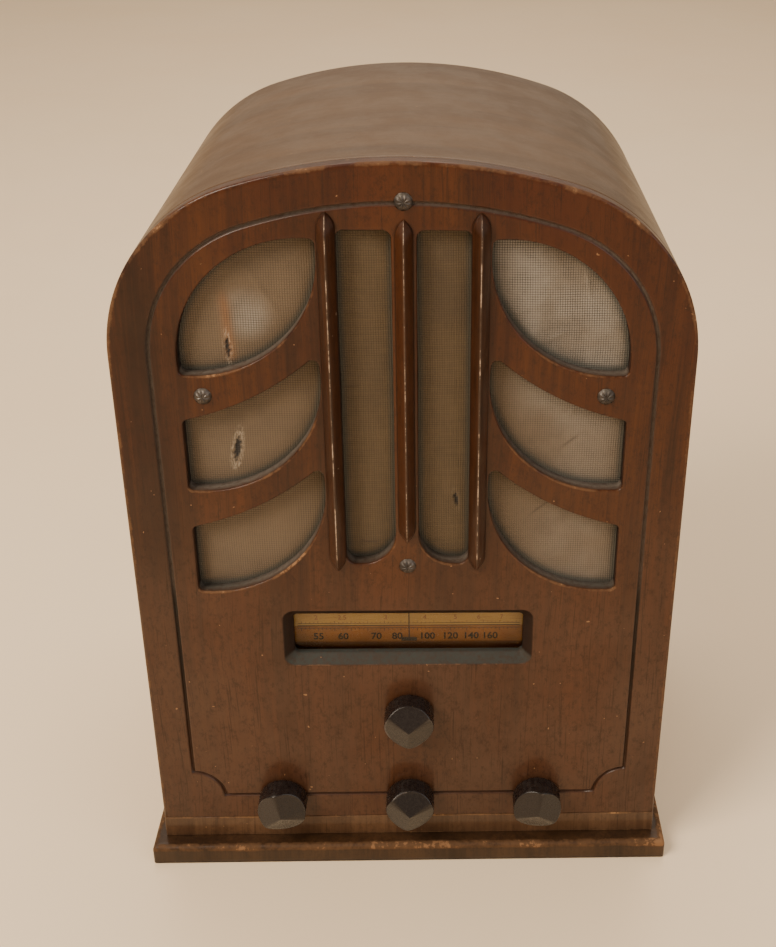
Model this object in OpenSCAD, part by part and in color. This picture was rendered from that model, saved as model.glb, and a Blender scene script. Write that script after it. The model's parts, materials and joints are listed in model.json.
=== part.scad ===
// Cathedral table radio: an arched veneered cabinet with an open back, a pierced
// front with three applied ribs, a slide-rule dial, four knobs, and the chassis,
// tuning drive and loudspeaker inside.
// +Z is up and the front faces -Y. The origin is under the middle of the whole
// object, on the surface it stands on.

/* [Cabinet] */
// Width of the cabinet across its straight sides
body_w = 280; // [276:1:300]
// Height of the cabinet from the table to the top of the arch
body_h = 408; // [406:1:420]
// Depth of the cabinet from the face of the front panel to its open back
body_d = 216; // [210:1:240]
// Radius of the flat crown of the arch
crown_r = 260; // [255:1:270]
// Radius of the two shoulders of the arch
shoulder_r = 87; // [84:1:90]
// Thickness of the front panel and of the rail under it
panel_t = 8; // [7:0.5:8]
// Thickness of the bent plywood wrap
wrap_t = 5; // [4:0.5:5]
// Thickness of the base board
base_t = 12; // [11:0.5:13]
// How far the base board stands out at each side
base_side_reach = 6.5; // [4:0.5:9]
// How far the base board stands out in front
base_front_reach = 9.5; // [6:0.5:11]
// Height of the joint between the rail and the front panel
rail_top = 25.5; // [24:0.5:27]

/* [Front panel] */
// Distance of the routed line from the panel's edge
groove_inset = 18; // [17:0.5:19]
// Width of the routed line
groove_w = 2.2; // [1.5:0.1:2.5]
// Depth of the routed line
groove_depth = 1.5; // [1:0.1:2]
// Height of the routed line's bottom run
groove_foot = 41; // [40:0.5:43]
// Radius of the quarter rounds cut into the line's bottom corners
notch_r = 17; // [15:0.5:19]
// Height of the loudspeaker's centre
speaker_z = 292.6; // [291:0.2:294]
// Diameter of the circle that the four front bolts stand on
bolt_pcd = 194; // [192:0.5:195]
// Radius of the leaf openings' lower edges
leaf_r = 60; // [59:0.5:60.5]
// Distance from the middle to the inner ends of the leaf openings
leaf_in = 40.5; // [40.5:0.25:41]
// Distance from the middle to the outer ends of the leaf openings
leaf_out = 108; // [107:0.5:108]
// Radius of the upper edges of the lower four leaf openings
leaf_back_r = 139; // [135:1:145]
// Height of the centre of the low leaf's lower edge
low_leaf_z = 240; // [239:0.5:241]
// Height of the centre of the middle leaf's lower edge
mid_leaf_z = 300; // [299:0.5:301]
// Height of the centre of the top leaf's lower edge
top_leaf_z = 363; // [362.5:0.5:363.5]
// Distance from the middle to the near edge of each long slot
slot_in = 5.8; // [5.5:0.1:6]
// Distance from the middle to the far edge of each long slot
slot_out = 31.4; // [30.5:0.1:31.5]
// Height of the bottom of the long slots
slot_foot = 196.5; // [196:0.5:198]
// Height of the top of the long slots
slot_head = 376; // [374:0.5:377]

/* [Ribs] */
// Distance from the middle to the outer ribs
rib_x = 35.4; // [35.2:0.1:35.6]
// Width of a rib
rib_w = 8.8; // [8:0.1:9]
// How far a rib stands out of the panel
rib_h = 7.5; // [5:0.5:8]

/* [Dial] */
// Height of the middle of the dial window
dial_z = 150; // [149.5:0.5:150.5]
// Width of the dial window where it passes through the panel
dial_w = 122; // [118:1:122]
// Height of the dial window where it passes through the panel
dial_h = 25; // [23:1:26]
// Width of the bevel around the dial window
dial_bevel = 5; // [3:0.5:5.5]
// Distance that the pointer travels to each side of the middle
pointer_travel = 49; // [40:1:49]

/* [Knobs] */
// Diameter of a knob
knob_d = 27; // [25:0.5:28]
// Length of a knob from its back to its point
knob_len = 17; // [16:0.5:18]
// Fall of a knob's three ridges from the point to the rim
knob_fall = 3.5; // [2:0.5:4]
// Gap between a knob and the panel
knob_gap = 1.5; // [1:0.5:2]
// Distance from the middle to the two outer knobs
knob_x = 71.5; // [68:0.5:74]
// Height of the three lower controls
control_z = 41; // [40:0.5:43]
// Height of the tuning control
tuning_z = 100.4; // [100:0.2:101]
// Radius of a control shaft
shaft_r = 3.15; // [3:0.05:3.2]

/* [Chassis] */
// Width of the chassis
chassis_w = 236; // [232:1:238]
// Depth of the chassis
chassis_d = 140; // [138:1:144]
// Height of the chassis's top plate
chassis_top = 68; // [66:0.5:69]
// Thickness of the chassis's sheet steel
sheet_t = 1.4; // [1:0.1:1.6]

/* [Loudspeaker] */
// Outer radius of the loudspeaker's rim
rim_r = 103; // [102:0.5:104]
// Depth of the loudspeaker's basket behind its rim
basket_d = 54; // [50:1:58]
// Radius of the loudspeaker's magnet pot
pot_r = 38; // [34:1:40]
// Depth of the magnet pot
pot_d = 46; // [40:1:50]

/* [Tuning drive] */
// Radius at which the dial cord runs on the drum
drum_r = 32; // [31:0.5:32]
// Radius at which the dial cord runs on the tuning shaft
spindle_r = 3.2; // [3.1:0.1:3.2]
// Running clearance of a shaft in its hole
running_gap = 0.05; // [0.03:0.01:0.08]

/* [Hidden] */
$fn = 64;

// Cabinet outline
half_w = body_w / 2;
shoulder_x = half_w - shoulder_r;
arch_rise = sqrt(pow(crown_r - shoulder_r, 2) - pow(shoulder_x, 2));
crown_z = body_h - crown_r;
spring_z = crown_z + arch_rise;
crown_angle = atan2(arch_rise, shoulder_x);
knob_reach = knob_gap + knob_len;
front_y = (knob_reach - body_d) / 2;
slack = 0.2;

// Depths behind the face of the front panel
cloth_y = panel_t + 0.1;
cloth_t = 0.8;
board_y = panel_t + 1;
board_t = 6;
rim_y = board_y + board_t;
rim_t = 2;
glass_y = panel_t + slack;
glass_t = 2.2;
pointer_y = 12.4;
scale_y = 14.6;
scale_t = 0.6;
plate_y = scale_y + scale_t;
chassis_y = 24;
cord_y = 27;
gang_y = 38;
gang_d = 56;

// Grille
cleat_w = 13;
board_half_w = half_w - wrap_t - cleat_w - 1;
board_foot = 174;
bolt_r = 2.4;
bolt_hole_r = 2.6;
shaft_hole_r = 6;
leaf_axis = leaf_out - 7.6;
leaf_back_shift = [37.4, 114.9];
crown_leaf = [47.8, 311.9];
tip_r = 3;

// Dial
scale_half_w = 64;
scale_half_h = 18.5;
plate_half_w = 72;
rail_z = 176;
guide_x = 64;
guide_z = 178;
guide_r = 5;
cord_r = 0.5;
lamp_x = 40;
lamp_z = 158;

// Tuning drive
gang_x = -46;
gang_z = 106;
plate_r = 24;
gang_plates = 7;
plate_pitch = 3.2;

// Loudspeaker
cone_r = 80;
neck_r = 17;
coil_r = 16;
pole_r = 14.6;
gap_r = 18.2;
basket_y = rim_y + rim_t;
pot_y = basket_y + basket_d;

function arc(c, r, from, to, n = 12) =
    [for (i = [0 : n]) c + r * [cos(from + (to - from) * i / n), sin(from + (to - from) * i / n)]];

function angle_of(v) = atan2(v[1], v[0]);

// The point where two circles cross, on the left of the line from a to b
function crossing(a, ra, b, rb) =
    let (d = norm(b - a), u = (b - a) / d, along = (ra * ra - rb * rb + d * d) / (2 * d))
    a + along * u + sqrt(ra * ra - along * along) * [-u[1], u[0]];

// Moves what is drawn from the front panel's face to the object's own origin
module from_front() { translate([0, front_y, 0]) children(); }

// A flat outline in X and Z, made a slab that starts at depth y
module slab(y, t) { translate([0, y + t, 0]) rotate([90, 0, 0]) linear_extrude(t) children(); }

// A round bar that runs back from depth y
module bar(x, z, y, len, r) { translate([x, y, z]) rotate([-90, 0, 0]) cylinder(h = len, r = r); }

// A turned shape about an axis that runs back from depth y
module turned(x, z, y) { translate([x, y, z]) rotate([-90, 0, 0]) rotate_extrude() children(); }

module both_sides() {
    children();
    mirror([1, 0, 0]) children();
}

// The cabinet's arch, drawn inset from its outside and cut off at a foot
module arch(inset, foot) {
    reach = 2 * crown_r;
    translate([-half_w + inset, foot]) square([body_w - 2 * inset, spring_z - foot]);
    for (side = [-1, 1])
        translate([side * shoulder_x, spring_z]) circle(shoulder_r - inset, $fn = 96);
    intersection() {
        translate([0, crown_z]) circle(crown_r - inset, $fn = 180);
        polygon([[0, crown_z],
            [reach * cos(crown_angle), crown_z + reach * sin(crown_angle)],
            [-reach * cos(crown_angle), crown_z + reach * sin(crown_angle)]]);
    }
}

module rounded_rect(w, h, r) {
    translate([-w / 2 + r, -h / 2]) square([w - 2 * r, h]);
    translate([-w / 2, -h / 2 + r]) square([w, h - 2 * r]);
    for (x = [-1, 1], y = [-1, 1])
        translate([x * (w / 2 - r), y * (h / 2 - r)]) circle(r, $fn = 32);
}

// ---- Openings in the front panel, drawn for the right-hand side ----

// The top leaf: two equal arcs that meet at rounded tips
module crown_leaf_outline() {
    low = [leaf_axis, top_leaf_z];
    inner = crossing(crown_leaf, leaf_r - tip_r, low, leaf_r - tip_r);
    outer = crossing(low, leaf_r - tip_r, crown_leaf, leaf_r - tip_r);
    polygon(concat(
        arc(crown_leaf, leaf_r, angle_of(outer - crown_leaf), angle_of(inner - crown_leaf), 20),
        arc(inner, tip_r, angle_of(inner - crown_leaf), angle_of(inner - low), 6),
        arc(low, leaf_r, angle_of(inner - low), angle_of(outer - low) + 360, 20),
        arc(outer, tip_r, angle_of(outer - low), angle_of(outer - crown_leaf), 6)));
}

// A lower leaf: a round lower edge, a flatter upper edge and a straight outer end
module leaf_outline(z) {
    low = [leaf_axis, z];
    back = low + leaf_back_shift;
    inner = crossing(low, leaf_r - tip_r, back, leaf_back_r + tip_r);
    end_x = leaf_out - tip_r;
    head = [end_x, back[1] - sqrt(pow(leaf_back_r + tip_r, 2) - pow(end_x - back[0], 2))];
    foot = [end_x, z - sqrt(pow(leaf_r - tip_r, 2) - pow(end_x - low[0], 2))];
    polygon(concat(
        arc(low, leaf_r, angle_of(inner - low), angle_of(foot - low) + 360, 20),
        arc(foot, tip_r, angle_of(foot - low), 0, 6),
        arc(head, tip_r, 0, angle_of(back - head), 6),
        arc(back, leaf_back_r, angle_of(head - back), angle_of(inner - back), 10),
        arc(inner, tip_r, angle_of(back - inner), angle_of(inner - low), 6)));
}

// A long slot: square head, a tight outer corner and a broad inner corner at the foot
module slot_outline() {
    head_r = 4;
    tight_r = 6;
    broad_r = 18;
    polygon(concat(
        arc([slot_out - head_r, slot_head - head_r], head_r, 0, 90, 6),
        arc([slot_in + head_r, slot_head - head_r], head_r, 90, 180, 6),
        arc([slot_in + broad_r, slot_foot + broad_r], broad_r, 180, 270, 12),
        arc([slot_out - tight_r, slot_foot + tight_r], tight_r, 270, 360, 6)));
}

// The field inside the routed line, inset from the panel's edge
module field(inset, grow) {
    difference() {
        arch(inset, groove_foot + grow);
        for (side = [-1, 1])
            translate([side * (half_w - groove_inset), groove_foot]) circle(notch_r + grow, $fn = 48);
    }
}

module dial_opening() {
    translate([0, dial_z]) rounded_rect(dial_w, dial_h, 2.5);
}

// Angles of the four front bolts around the loudspeaker's centre
module at_bolts() {
    for (a = [0 : 90 : 270])
        translate([bolt_pcd / 2 * cos(a), 0, speaker_z + bolt_pcd / 2 * sin(a)]) children();
}

module at_controls() { for (x = [-knob_x, 0, knob_x]) translate([x, 0, control_z]) children(); }

// ---- Cabinet ----

module base_board() {
    edge = 2.5;
    head_d = 14;
    foot_w = body_w + 2 * base_side_reach;
    foot_d = body_d + base_front_reach;
    color("#4a2c1c") from_front() difference() {
        hull() {
            translate([-foot_w / 2, -base_front_reach, 0]) cube([foot_w, foot_d, base_t - edge]);
            translate([-foot_w / 2 + edge, -base_front_reach + edge, 0])
                cube([foot_w - 2 * edge, foot_d - edge, base_t]);
        }
        at_chassis_bolts() {
            translate([0, 0, -1]) cylinder(h = base_t + 2, r = bolt_hole_r);
            translate([0, 0, -1]) cylinder(h = 7, d = head_d);
        }
    }
}

module front_rail() {
    color("#4f2d1b") from_front() difference() {
        translate([-half_w, 0, base_t]) cube([body_w, panel_t, rail_top - base_t]);
    }
}

module front_panel() {
    bevel_step = 0.01;
    color("#5a2f1a") from_front() difference() {
        slab(0, panel_t) arch(0, rail_top);
        slab(-1, panel_t + 2) both_sides() {
            crown_leaf_outline();
            leaf_outline(mid_leaf_z);
            leaf_outline(low_leaf_z);
            slot_outline();
        }
        slab(-1, 1 + groove_depth) difference() {
            field(groove_inset, 0);
            field(groove_inset + groove_w, groove_w);
        }
        slab(-1, panel_t + 2) dial_opening();
        hull() {
            slab(-bevel_step, bevel_step) translate([0, dial_z])
                rounded_rect(dial_w + 2 * dial_bevel, dial_h + 2 * dial_bevel, 6);
            slab(dial_bevel, bevel_step) dial_opening();
        }
        at_bolts() bar(0, 0, -1, panel_t + 2, bolt_hole_r);
        at_controls() bar(0, 0, -1, panel_t + 2, shaft_hole_r);
        bar(0, tuning_z, -1, panel_t + 2, shaft_hole_r);
    }
}

module cabinet_wrap() {
    color("#6f4a33") from_front() slab(panel_t, body_d - panel_t) difference() {
        arch(0, base_t);
        arch(wrap_t, base_t - 1);
    }
}

module glue_blocks() {
    block = 13;
    color("#b08a5a") from_front() both_sides()
        translate([half_w - wrap_t, 0, base_t]) rotate([-90, 0, 0])
            translate([0, 0, chassis_y]) linear_extrude(body_d - chassis_y - 12)
                polygon([[0, 0], [-block, 0], [0, -block]]);
}

module panel_cleats() {
    cleat_d = 12;
    color("#b08a5a") from_front() both_sides()
        translate([half_w - wrap_t - cleat_w, panel_t, base_t])
            cube([cleat_w, cleat_d, spring_z - base_t]);
}

// A rib with a sharp ridge, sloping flanks and pointed ends
module rib(x, foot, head) {
    nose = 9;
    color("#4a2818") from_front() translate([x, 0, 0]) intersection() {
        slab(-rib_h, rib_h) polygon(concat(
            [[-rib_w / 2, foot + nose], [0, foot], [rib_w / 2, foot + nose]],
            arc([0, head - nose], nose, 30, 150, 10) ));
        translate([0, 0, foot - 1]) linear_extrude(head - foot + 2)
            polygon([[-rib_w / 2, 0], [-rib_w / 2, -2], [-0.6, -rib_h], [0.6, -rib_h],
                [rib_w / 2, -2], [rib_w / 2, 0]]);
    }
}

module left_rib() { rib(-rib_x, 193, 384.5); }
module centre_rib() { rib(0, 210, 381); }
module right_rib() { rib(rib_x, 193, 384.5); }

// ---- Grille and loudspeaker board ----

module board_outline(inset) {
    intersection() {
        arch(wrap_t + 4 + inset, board_foot + inset);
        translate([-board_half_w + inset, board_foot + inset])
            square([2 * (board_half_w - inset), body_h]);
    }
}

module speaker_board() {
    color("#9c7a4f") from_front() difference() {
        slab(board_y, board_t) board_outline(0);
        bar(0, speaker_z, board_y - 1, board_t + 2, cone_r + 6);
        at_bolts() bar(0, 0, board_y - 1, board_t + 2, bolt_hole_r);
    }
}

module grille_cloth() {
    color("#9a8a6a") from_front() difference() {
        slab(cloth_y, cloth_t) board_outline(1.5);
        at_bolts() bar(0, 0, cloth_y - 1, cloth_t + 2, bolt_hole_r + 0.4);
    }
}

module grille_bolts() {
    head_r = 4.3;
    head_t = 2.4;
    shank = 23;
    color("#77706a") from_front() at_bolts() {
        turned(0, 0, -head_t) polygon([[0, 0], [head_r - 2, 0], [head_r, 1.4], [head_r, head_t], [0, head_t]]);
        bar(0, 0, 0, shank, bolt_r);
    }
}

module grille_nuts() {
    color("#6f6a64") from_front() at_bolts()
        translate([0, basket_y, 0]) rotate([-90, 0, 0]) difference() {
            cylinder(h = 3, r = 5, $fn = 6);
            translate([0, 0, -1]) cylinder(h = 5, r = bolt_r);
        }
}

// ---- Dial ----

module dial_glass() {
    color("#cfd8d6", 0.4) from_front() slab(glass_y, glass_t)
        translate([0, dial_z]) rounded_rect(dial_w + 10, dial_h + 10, 2);
}

module dial_scale() {
    color("#d9a441") from_front() slab(scale_y, scale_t)
        translate([0, dial_z]) rounded_rect(2 * scale_half_w, 2 * scale_half_h, 2);
}

// The dial's back plate, with its window, two legs to the chassis, two ears for
// the cord guides and the rail that the pointer rides on
module dial_plate() {
    leg_w = 9;
    ear_w = 14;
    ear_top = 186;
    plate_top = dial_z + scale_half_h;
    rail_front = plate_y + sheet_t + 1;
    color("#8d8d88") from_front() {
        slab(plate_y, sheet_t) difference() {
            translate([-plate_half_w, dial_z - 26]) square([2 * plate_half_w, plate_top - dial_z + 26]);
            translate([0, dial_z]) rounded_rect(2 * scale_half_w - 6, 2 * scale_half_h - 8, 2);
        }
        both_sides() {
            slab(plate_y, sheet_t) translate([plate_half_w - leg_w, chassis_top])
                square([leg_w, dial_z - 26 - chassis_top]);
            slab(plate_y, sheet_t) translate([plate_half_w - ear_w, plate_top])
                square([ear_w, ear_top - plate_top]);
            translate([plate_half_w - leg_w, plate_y, chassis_top])
                cube([leg_w, 20, sheet_t]);
            bar(guide_x, guide_z, plate_y, cord_y - plate_y + 2, guide_r - cord_r - slack);
            bar(guide_x, guide_z, cord_y + 1, 1, guide_r + 1);
            translate([plate_half_w - 3, plate_y, rail_z]) cube([3, 4.6, 3]);
        }
        translate([-plate_half_w, rail_front, rail_z]) cube([2 * plate_half_w, 2, 3]);
    }
}

// Two lamp holders on straps that reach behind the window
module lamp_sockets() {
    strap_x = 65;
    strap_y = plate_y + sheet_t;
    strap_back = 36;
    color("#b59a5a") from_front() both_sides() {
        difference() {
            bar(lamp_x, lamp_z, strap_back - 5, 12, 5.2);
            bar(lamp_x, lamp_z, strap_back - 6, 10, 4.2);
        }
        translate([lamp_x + 4.8, strap_back, lamp_z - 4])
            cube([strap_x - lamp_x - 4.8, sheet_t, 8]);
        translate([strap_x, strap_y, lamp_z - 4])
            cube([sheet_t, strap_back + sheet_t - strap_y, 8]);
    }
}

module dial_lamps() {
    base_y = 31;
    color("#e8e0c0", 0.6) from_front() both_sides()
        turned(lamp_x, lamp_z, base_y - 12) polygon(concat(
            [[0, 21], [0, 0]], arc([0, 5], 5, -70, 20, 8), [[4, 11], [4, 21]]));
}

// The area inside the loop of cord, grown by a distance
module loop_area(grow) {
    turns = [[-guide_x, guide_z, guide_r], [guide_x, guide_z, guide_r],
        [0, tuning_z, spindle_r], [gang_x, gang_z, drum_r]];
    for (turn = turns)
        translate([turn[0], turn[1]]) circle(turn[2] + grow);
    polygon([for (i = [0 : 3], end = [0, 1])
        let (leave = run_angle(turns[i], turns[(i + 1) % 4]), turn = turns[(i + end) % 4])
        [turn[0], turn[1]] + (turn[2] + grow) * [cos(leave), sin(leave)]]);
}

module dial_cord() {
    color("#c9b98a") from_front() slab(cord_y - cord_r, 2 * cord_r) difference() {
        loop_area(cord_r);
        loop_area(-cord_r);
    }
}

// Direction, from a turn's centre, of the point where the outer tangent leaves it
function run_angle(a, b) =
    let (dx = b[0] - a[0], dz = b[1] - a[1], d = sqrt(dx * dx + dz * dz))
    atan2(dz, dx) + acos((a[2] - b[2]) / d);

// The pointer, a wire with a flat index at its foot, and the carrier that rides on the rail
module dial_pointer() {
    half = 5;
    lip_y = plate_y + sheet_t + 3.3;
    under = dial_z + scale_half_h + 0.8;
    rail_top_z = rail_z + 3;
    color("#2a2622") from_front() {
        translate([-0.3, pointer_y, dial_z - 10.5]) cube([0.6, 0.6, under + 1.2 - dial_z + 10.5]);
        translate([-4.2, pointer_y, dial_z - 10.5]) cube([8.4, 0.6, 1.9]);
        translate([-2.5, pointer_y, under]) cube([5, lip_y + 1 - pointer_y, 1.2]);
        translate([-half, lip_y, under]) cube([2 * half, 1, rail_top_z + 2.5 - under]);
        translate([-half, plate_y + sheet_t + 0.6, rail_top_z + 0.4])
            cube([2 * half, cord_y + 2 - plate_y - sheet_t - 0.6, 2.1]);
        for (y = [cord_y - 1.6, cord_y + 0.8])
            translate([-half, y, rail_top_z + 2.5]) cube([2 * half, 0.8, 3]);
    }
}

// ---- Chassis ----

module at_chassis_bolts() {
    for (x = [-1, 1], y = [chassis_y + 16, chassis_y + chassis_d - 16])
        translate([x * (chassis_w / 2 - 9), y, 0]) children();
}

module chassis_pan() {
    flange = 16;
    inner_w = chassis_w - 2 * sheet_t;
    color("#8a8c8a") from_front() difference() {
        translate([-chassis_w / 2, chassis_y, base_t])
            cube([chassis_w, chassis_d, chassis_top - base_t]);
        translate([-inner_w / 2, chassis_y + sheet_t, base_t + sheet_t])
            cube([inner_w, chassis_d - 2 * sheet_t, chassis_top - base_t - 2 * sheet_t]);
        translate([-inner_w / 2 + flange, chassis_y + sheet_t, base_t - 1])
            cube([inner_w - 2 * flange, chassis_d - 2 * sheet_t, sheet_t + 2]);
        at_controls() bar(0, 0, chassis_y - 1, sheet_t + 2, bushing_r + slack);
        bar(grommet_x, grommet_z, chassis_y + chassis_d - 4, 6, grommet_r - 2);
        at_chassis_bolts() translate([0, 0, base_t - 1]) cylinder(h = sheet_t + 2, r = bolt_hole_r);
    }
}

bushing_r = 4.7;
grommet_x = 78;
grommet_z = 36;
grommet_r = 8;

module chassis_bolts() {
    color("#77736c") from_front() at_chassis_bolts() {
        translate([0, 0, 2]) cylinder(h = 4, r = 5);
        translate([0, 0, 5]) cylinder(h = 15, r = bolt_r);
        translate([0, 0, base_t + sheet_t]) cylinder(h = 3.5, r = 4.8, $fn = 6);
    }
}

core = [68, 30, 62];
core_at = [46, 110, chassis_top];

module transformer_core() {
    color("#3a3a3c") from_front() translate(core_at) cube(core);
}

module transformer_covers() {
    cover_d = 17;
    r = 8;
    color("#26272a") from_front() for (y = [core_at[1] - cover_d, core_at[1] + core[1]])
        slab(y, cover_d) translate([core_at[0] + core[0] / 2, chassis_top + core[2] / 2])
            rounded_rect(core[0] - 10, core[2] - 8, r);
}

module gang_frame() {
    half = 28;
    top = gang_z + 12;
    color("#a8a9a6") from_front() difference() {
        union() {
            translate([gang_x - half, gang_y, chassis_top]) cube([2 * half, gang_d, 2]);
            for (y = [gang_y, gang_y + gang_d - 2])
                translate([gang_x - half, y, chassis_top]) cube([2 * half, 2, top - chassis_top]);
        }
        bar(gang_x, gang_z, gang_y - 1, gang_d + 2, shaft_r + running_gap);
    }
}

// The fixed plates, on the left of the shaft, joined by two insulated bars
module gang_stator() {
    bar_w = 4;
    clear_r = 8;
    color("#c9cac6") from_front() {
        for (i = [0 : gang_plates])
            slab(gang_y + 10 + (i - 0.5) * plate_pitch * 1.5 - 0.4, 0.8) difference() {
                translate([gang_x, gang_z]) intersection() {
                    circle(plate_r + 2);
                    translate([-plate_r - 2, -plate_r - 2]) square([plate_r, 2 * plate_r + 4]);
                }
                translate([gang_x, gang_z]) circle(clear_r);
            }
        translate([gang_x - plate_r - 2, gang_y + 2, gang_z - 3]) cube([bar_w - 2.8, gang_d - 4, 6]);
    }
}

// The shaft and its half-round plates, half way out of the fixed ones
module gang_rotor() {
    hub_r = 5.5;
    color("#cfd0cc") from_front() {
        bar(gang_x, gang_z, cord_y - 4, gang_y + gang_d + 3 - cord_y + 4, shaft_r);
        bar(gang_x, gang_z, gang_y + 4, gang_d - 8, hub_r);
        for (i = [0 : gang_plates - 1])
            slab(gang_y + 10 + i * plate_pitch * 1.5 - 0.4, 0.8) intersection() {
                translate([gang_x, gang_z]) circle(plate_r);
                translate([gang_x - plate_r, gang_z]) square([2 * plate_r, plate_r]);
            }
    }
}

module dial_drum() {
    floor_r = drum_r - cord_r - slack;
    color("#b9bab6") from_front() difference() {
        turned(gang_x, gang_z, cord_y - 3) polygon([[shaft_r, 0], [floor_r + 2, 0], [floor_r + 2, 1.5],
            [floor_r, 2], [floor_r, 4], [floor_r + 2, 4.5], [floor_r + 2, 6], [shaft_r, 6]]);
        for (a = [30 : 60 : 330])
            bar(gang_x + 18 * cos(a), gang_z + 18 * sin(a), cord_y - 4, 8, 6);
    }
}

// The bracket on the chassis and the sleeve that carries the tuning shaft
module tuning_bracket() {
    y = 33;
    half = 12;
    top = tuning_z + 10;
    color("#9a9b97") from_front() difference() {
        union() {
            translate([-half, y, chassis_top]) cube([2 * half, sheet_t, top - chassis_top]);
            translate([-half, y, chassis_top]) cube([2 * half, 12, sheet_t]);
            bar(0, tuning_z, y - 2, 8, 5.5);
        }
        bar(0, tuning_z, y - 3, 10, shaft_r + running_gap);
    }
}

module tuning_shaft() {
    waist_r = spindle_r - cord_r - slack;
    back = 40;
    color("#b8a06a") from_front() {
        bar(0, tuning_z, -knob_gap - bore_len, cord_y - 1.5 + knob_gap + bore_len, shaft_r);
        bar(0, tuning_z, cord_y - 1.5, 3, waist_r);
        bar(0, tuning_z, cord_y + 1.5, back - cord_y - 1.5, shaft_r);
        bar(0, tuning_z, back, 1.5, shaft_r + 1.5);
    }
}

bore_len = 9;
control_back = chassis_y + sheet_t + 16;

// A knob: a round body whose front is cut by three planes that meet in a point
module knob(x, z, turn) {
    slope = atan(knob_fall / (knob_d / 4));
    big = 4 * knob_d;
    color("#2b1c16") from_front() translate([x, -knob_gap, z]) rotate([90, 0, 0]) difference() {
        intersection() {
            cylinder(h = knob_len, d = knob_d);
            for_facets(turn) translate([0, 0, knob_len]) rotate([0, slope, 0])
                translate([-big / 2, -big / 2, -big]) cube(big);
        }
        translate([0, 0, -1]) cylinder(h = bore_len + 1, r = shaft_r);
    }
}

module for_facets(turn) {
    intersection() {
        rotate([0, 0, turn]) children();
        rotate([0, 0, turn + 120]) children();
        rotate([0, 0, turn + 240]) children();
    }
}

// Each knob is named with the direction that one of its three facets looks
module tuning_knob() { knob(0, tuning_z, 90); }
module volume_knob() { knob(-knob_x, control_z, 45); }
module band_knob() { knob(0, control_z, 82); }
module tone_knob() { knob(knob_x, control_z, 20); }

module control_shaft(x) {
    color("#b8a06a") from_front()
        bar(x, control_z, -knob_gap - bore_len, control_back - 4 + knob_gap + bore_len, shaft_r);
}

module volume_shaft() { control_shaft(-knob_x); }
module band_shaft() { control_shaft(0); }
module tone_shaft() { control_shaft(knob_x); }

// A control's body behind the chassis front, with its bushing through it
module control_body(x, r, depth) {
    difference() {
        union() {
            bar(x, control_z, chassis_y + sheet_t, depth, r);
            bar(x, control_z, chassis_y - 7, 8 + sheet_t, bushing_r);
        }
        bar(x, control_z, chassis_y - 8, control_back - chassis_y + 4.5, shaft_r + running_gap);
    }
}

module volume_control() { color("#7c6a4a") from_front() control_body(-knob_x, 15, 22); }
module tone_control() { color("#7c6a4a") from_front() control_body(knob_x, 15, 22); }
module band_switch() { color("#8a6a48") from_front() control_body(0, 17, 26); }

module control_nuts() {
    color("#b5a274") from_front() at_controls()
        translate([0, chassis_y - 2.5, 0]) rotate([-90, 0, 0]) difference() {
            cylinder(h = 2.5, r = 7.2, $fn = 6);
            translate([0, 0, -1]) cylinder(h = 5, r = bushing_r);
        }
}

// ---- Tubes and cans on the chassis ----

socket_t = 4;
rectifier_at = [94, 60];
output_at = [46, 60];
converter_at = [-94, 128];
amplifier_at = [-50, 128];
detector_at = [10, 92];

module at(p, z) { translate([p[0], p[1], z]) children(); }

module tube_sockets() {
    color("#5a4632") from_front()
        for (p = [rectifier_at, output_at, converter_at, amplifier_at, detector_at])
            at(p, chassis_top) difference() {
                cylinder(h = socket_t, r = 17);
                translate([0, 0, -1]) cylinder(h = socket_t + 2, r = 3);
            }
}

base_h = 26;
base_r = 15;

module tube_bases() {
    color("#2e2019") from_front() for (p = [rectifier_at, output_at])
        at(p, chassis_top + socket_t) difference() {
            cylinder(h = base_h, r = base_r);
            translate([0, 0, 3]) cylinder(h = base_h, r = base_r - 1.6);
        }
}

// A glass bulb: a straight neck, a full belly and a narrower dome
module bulb(p) {
    belly_r = 22.5;
    wall = 1;
    outer = concat([[13, 0], [13.4, 10]], arc([0, 30], belly_r, -35, 20, 8),
        arc([0, 66], 15.5, -10, 90, 12));
    inner = concat([[12, 0], [12.4, 10]], arc([0, 30], belly_r - wall, -35, 20, 8),
        arc([0, 66], 15.5 - wall, -10, 90, 12));
    at(p, chassis_top + socket_t + base_h - 6) rotate_extrude()
        polygon(concat(outer, [for (i = [len(inner) - 1 : -1 : 0]) inner[i]]));
}

module rectifier_tube() { color("#c8ccc8", 0.5) from_front() bulb(rectifier_at); }
module output_tube() { color("#c8ccc8", 0.5) from_front() bulb(output_at); }

// A close-fitting shield can with a collar, a shoulder and a capped nose
module shield(p) {
    r = 18;
    color("#a9aba8") from_front() at(p, chassis_top + socket_t) rotate_extrude() polygon([[r - 1, 0],
        [r + 1.5, 0], [r + 1.5, 6], [r, 7], [r, 66], [11, 84], [11, 92], [0, 92], [0, 91],
        [10, 91], [10, 83.6], [r - 1, 65.7]]);
}

module converter_shield() { shield(converter_at); }
module amplifier_shield() { shield(amplifier_at); }
module detector_shield() { shield(detector_at); }

// A square coil can with a pressed top
module coil_can(x, y) {
    w = 33;
    h = 82;
    color("#b4b6b2") from_front() translate([x, y, chassis_top]) {
        linear_extrude(h) rounded_rect(w, w, 3);
        translate([0, 0, h]) cylinder(h = 2, r = 12);
    }
}

module front_coil_can() { coil_can(-99, 62); }
module rear_coil_can() { coil_can(-6, 130); }

module filter_capacitor() {
    color("#a7a9a7") from_front() at([28, 136], chassis_top) {
        cylinder(h = 6, r = 14.5);
        cylinder(h = 96, r = 13);
        translate([0, 0, 96]) cylinder(h = 2, r = 9);
    }
}

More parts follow.
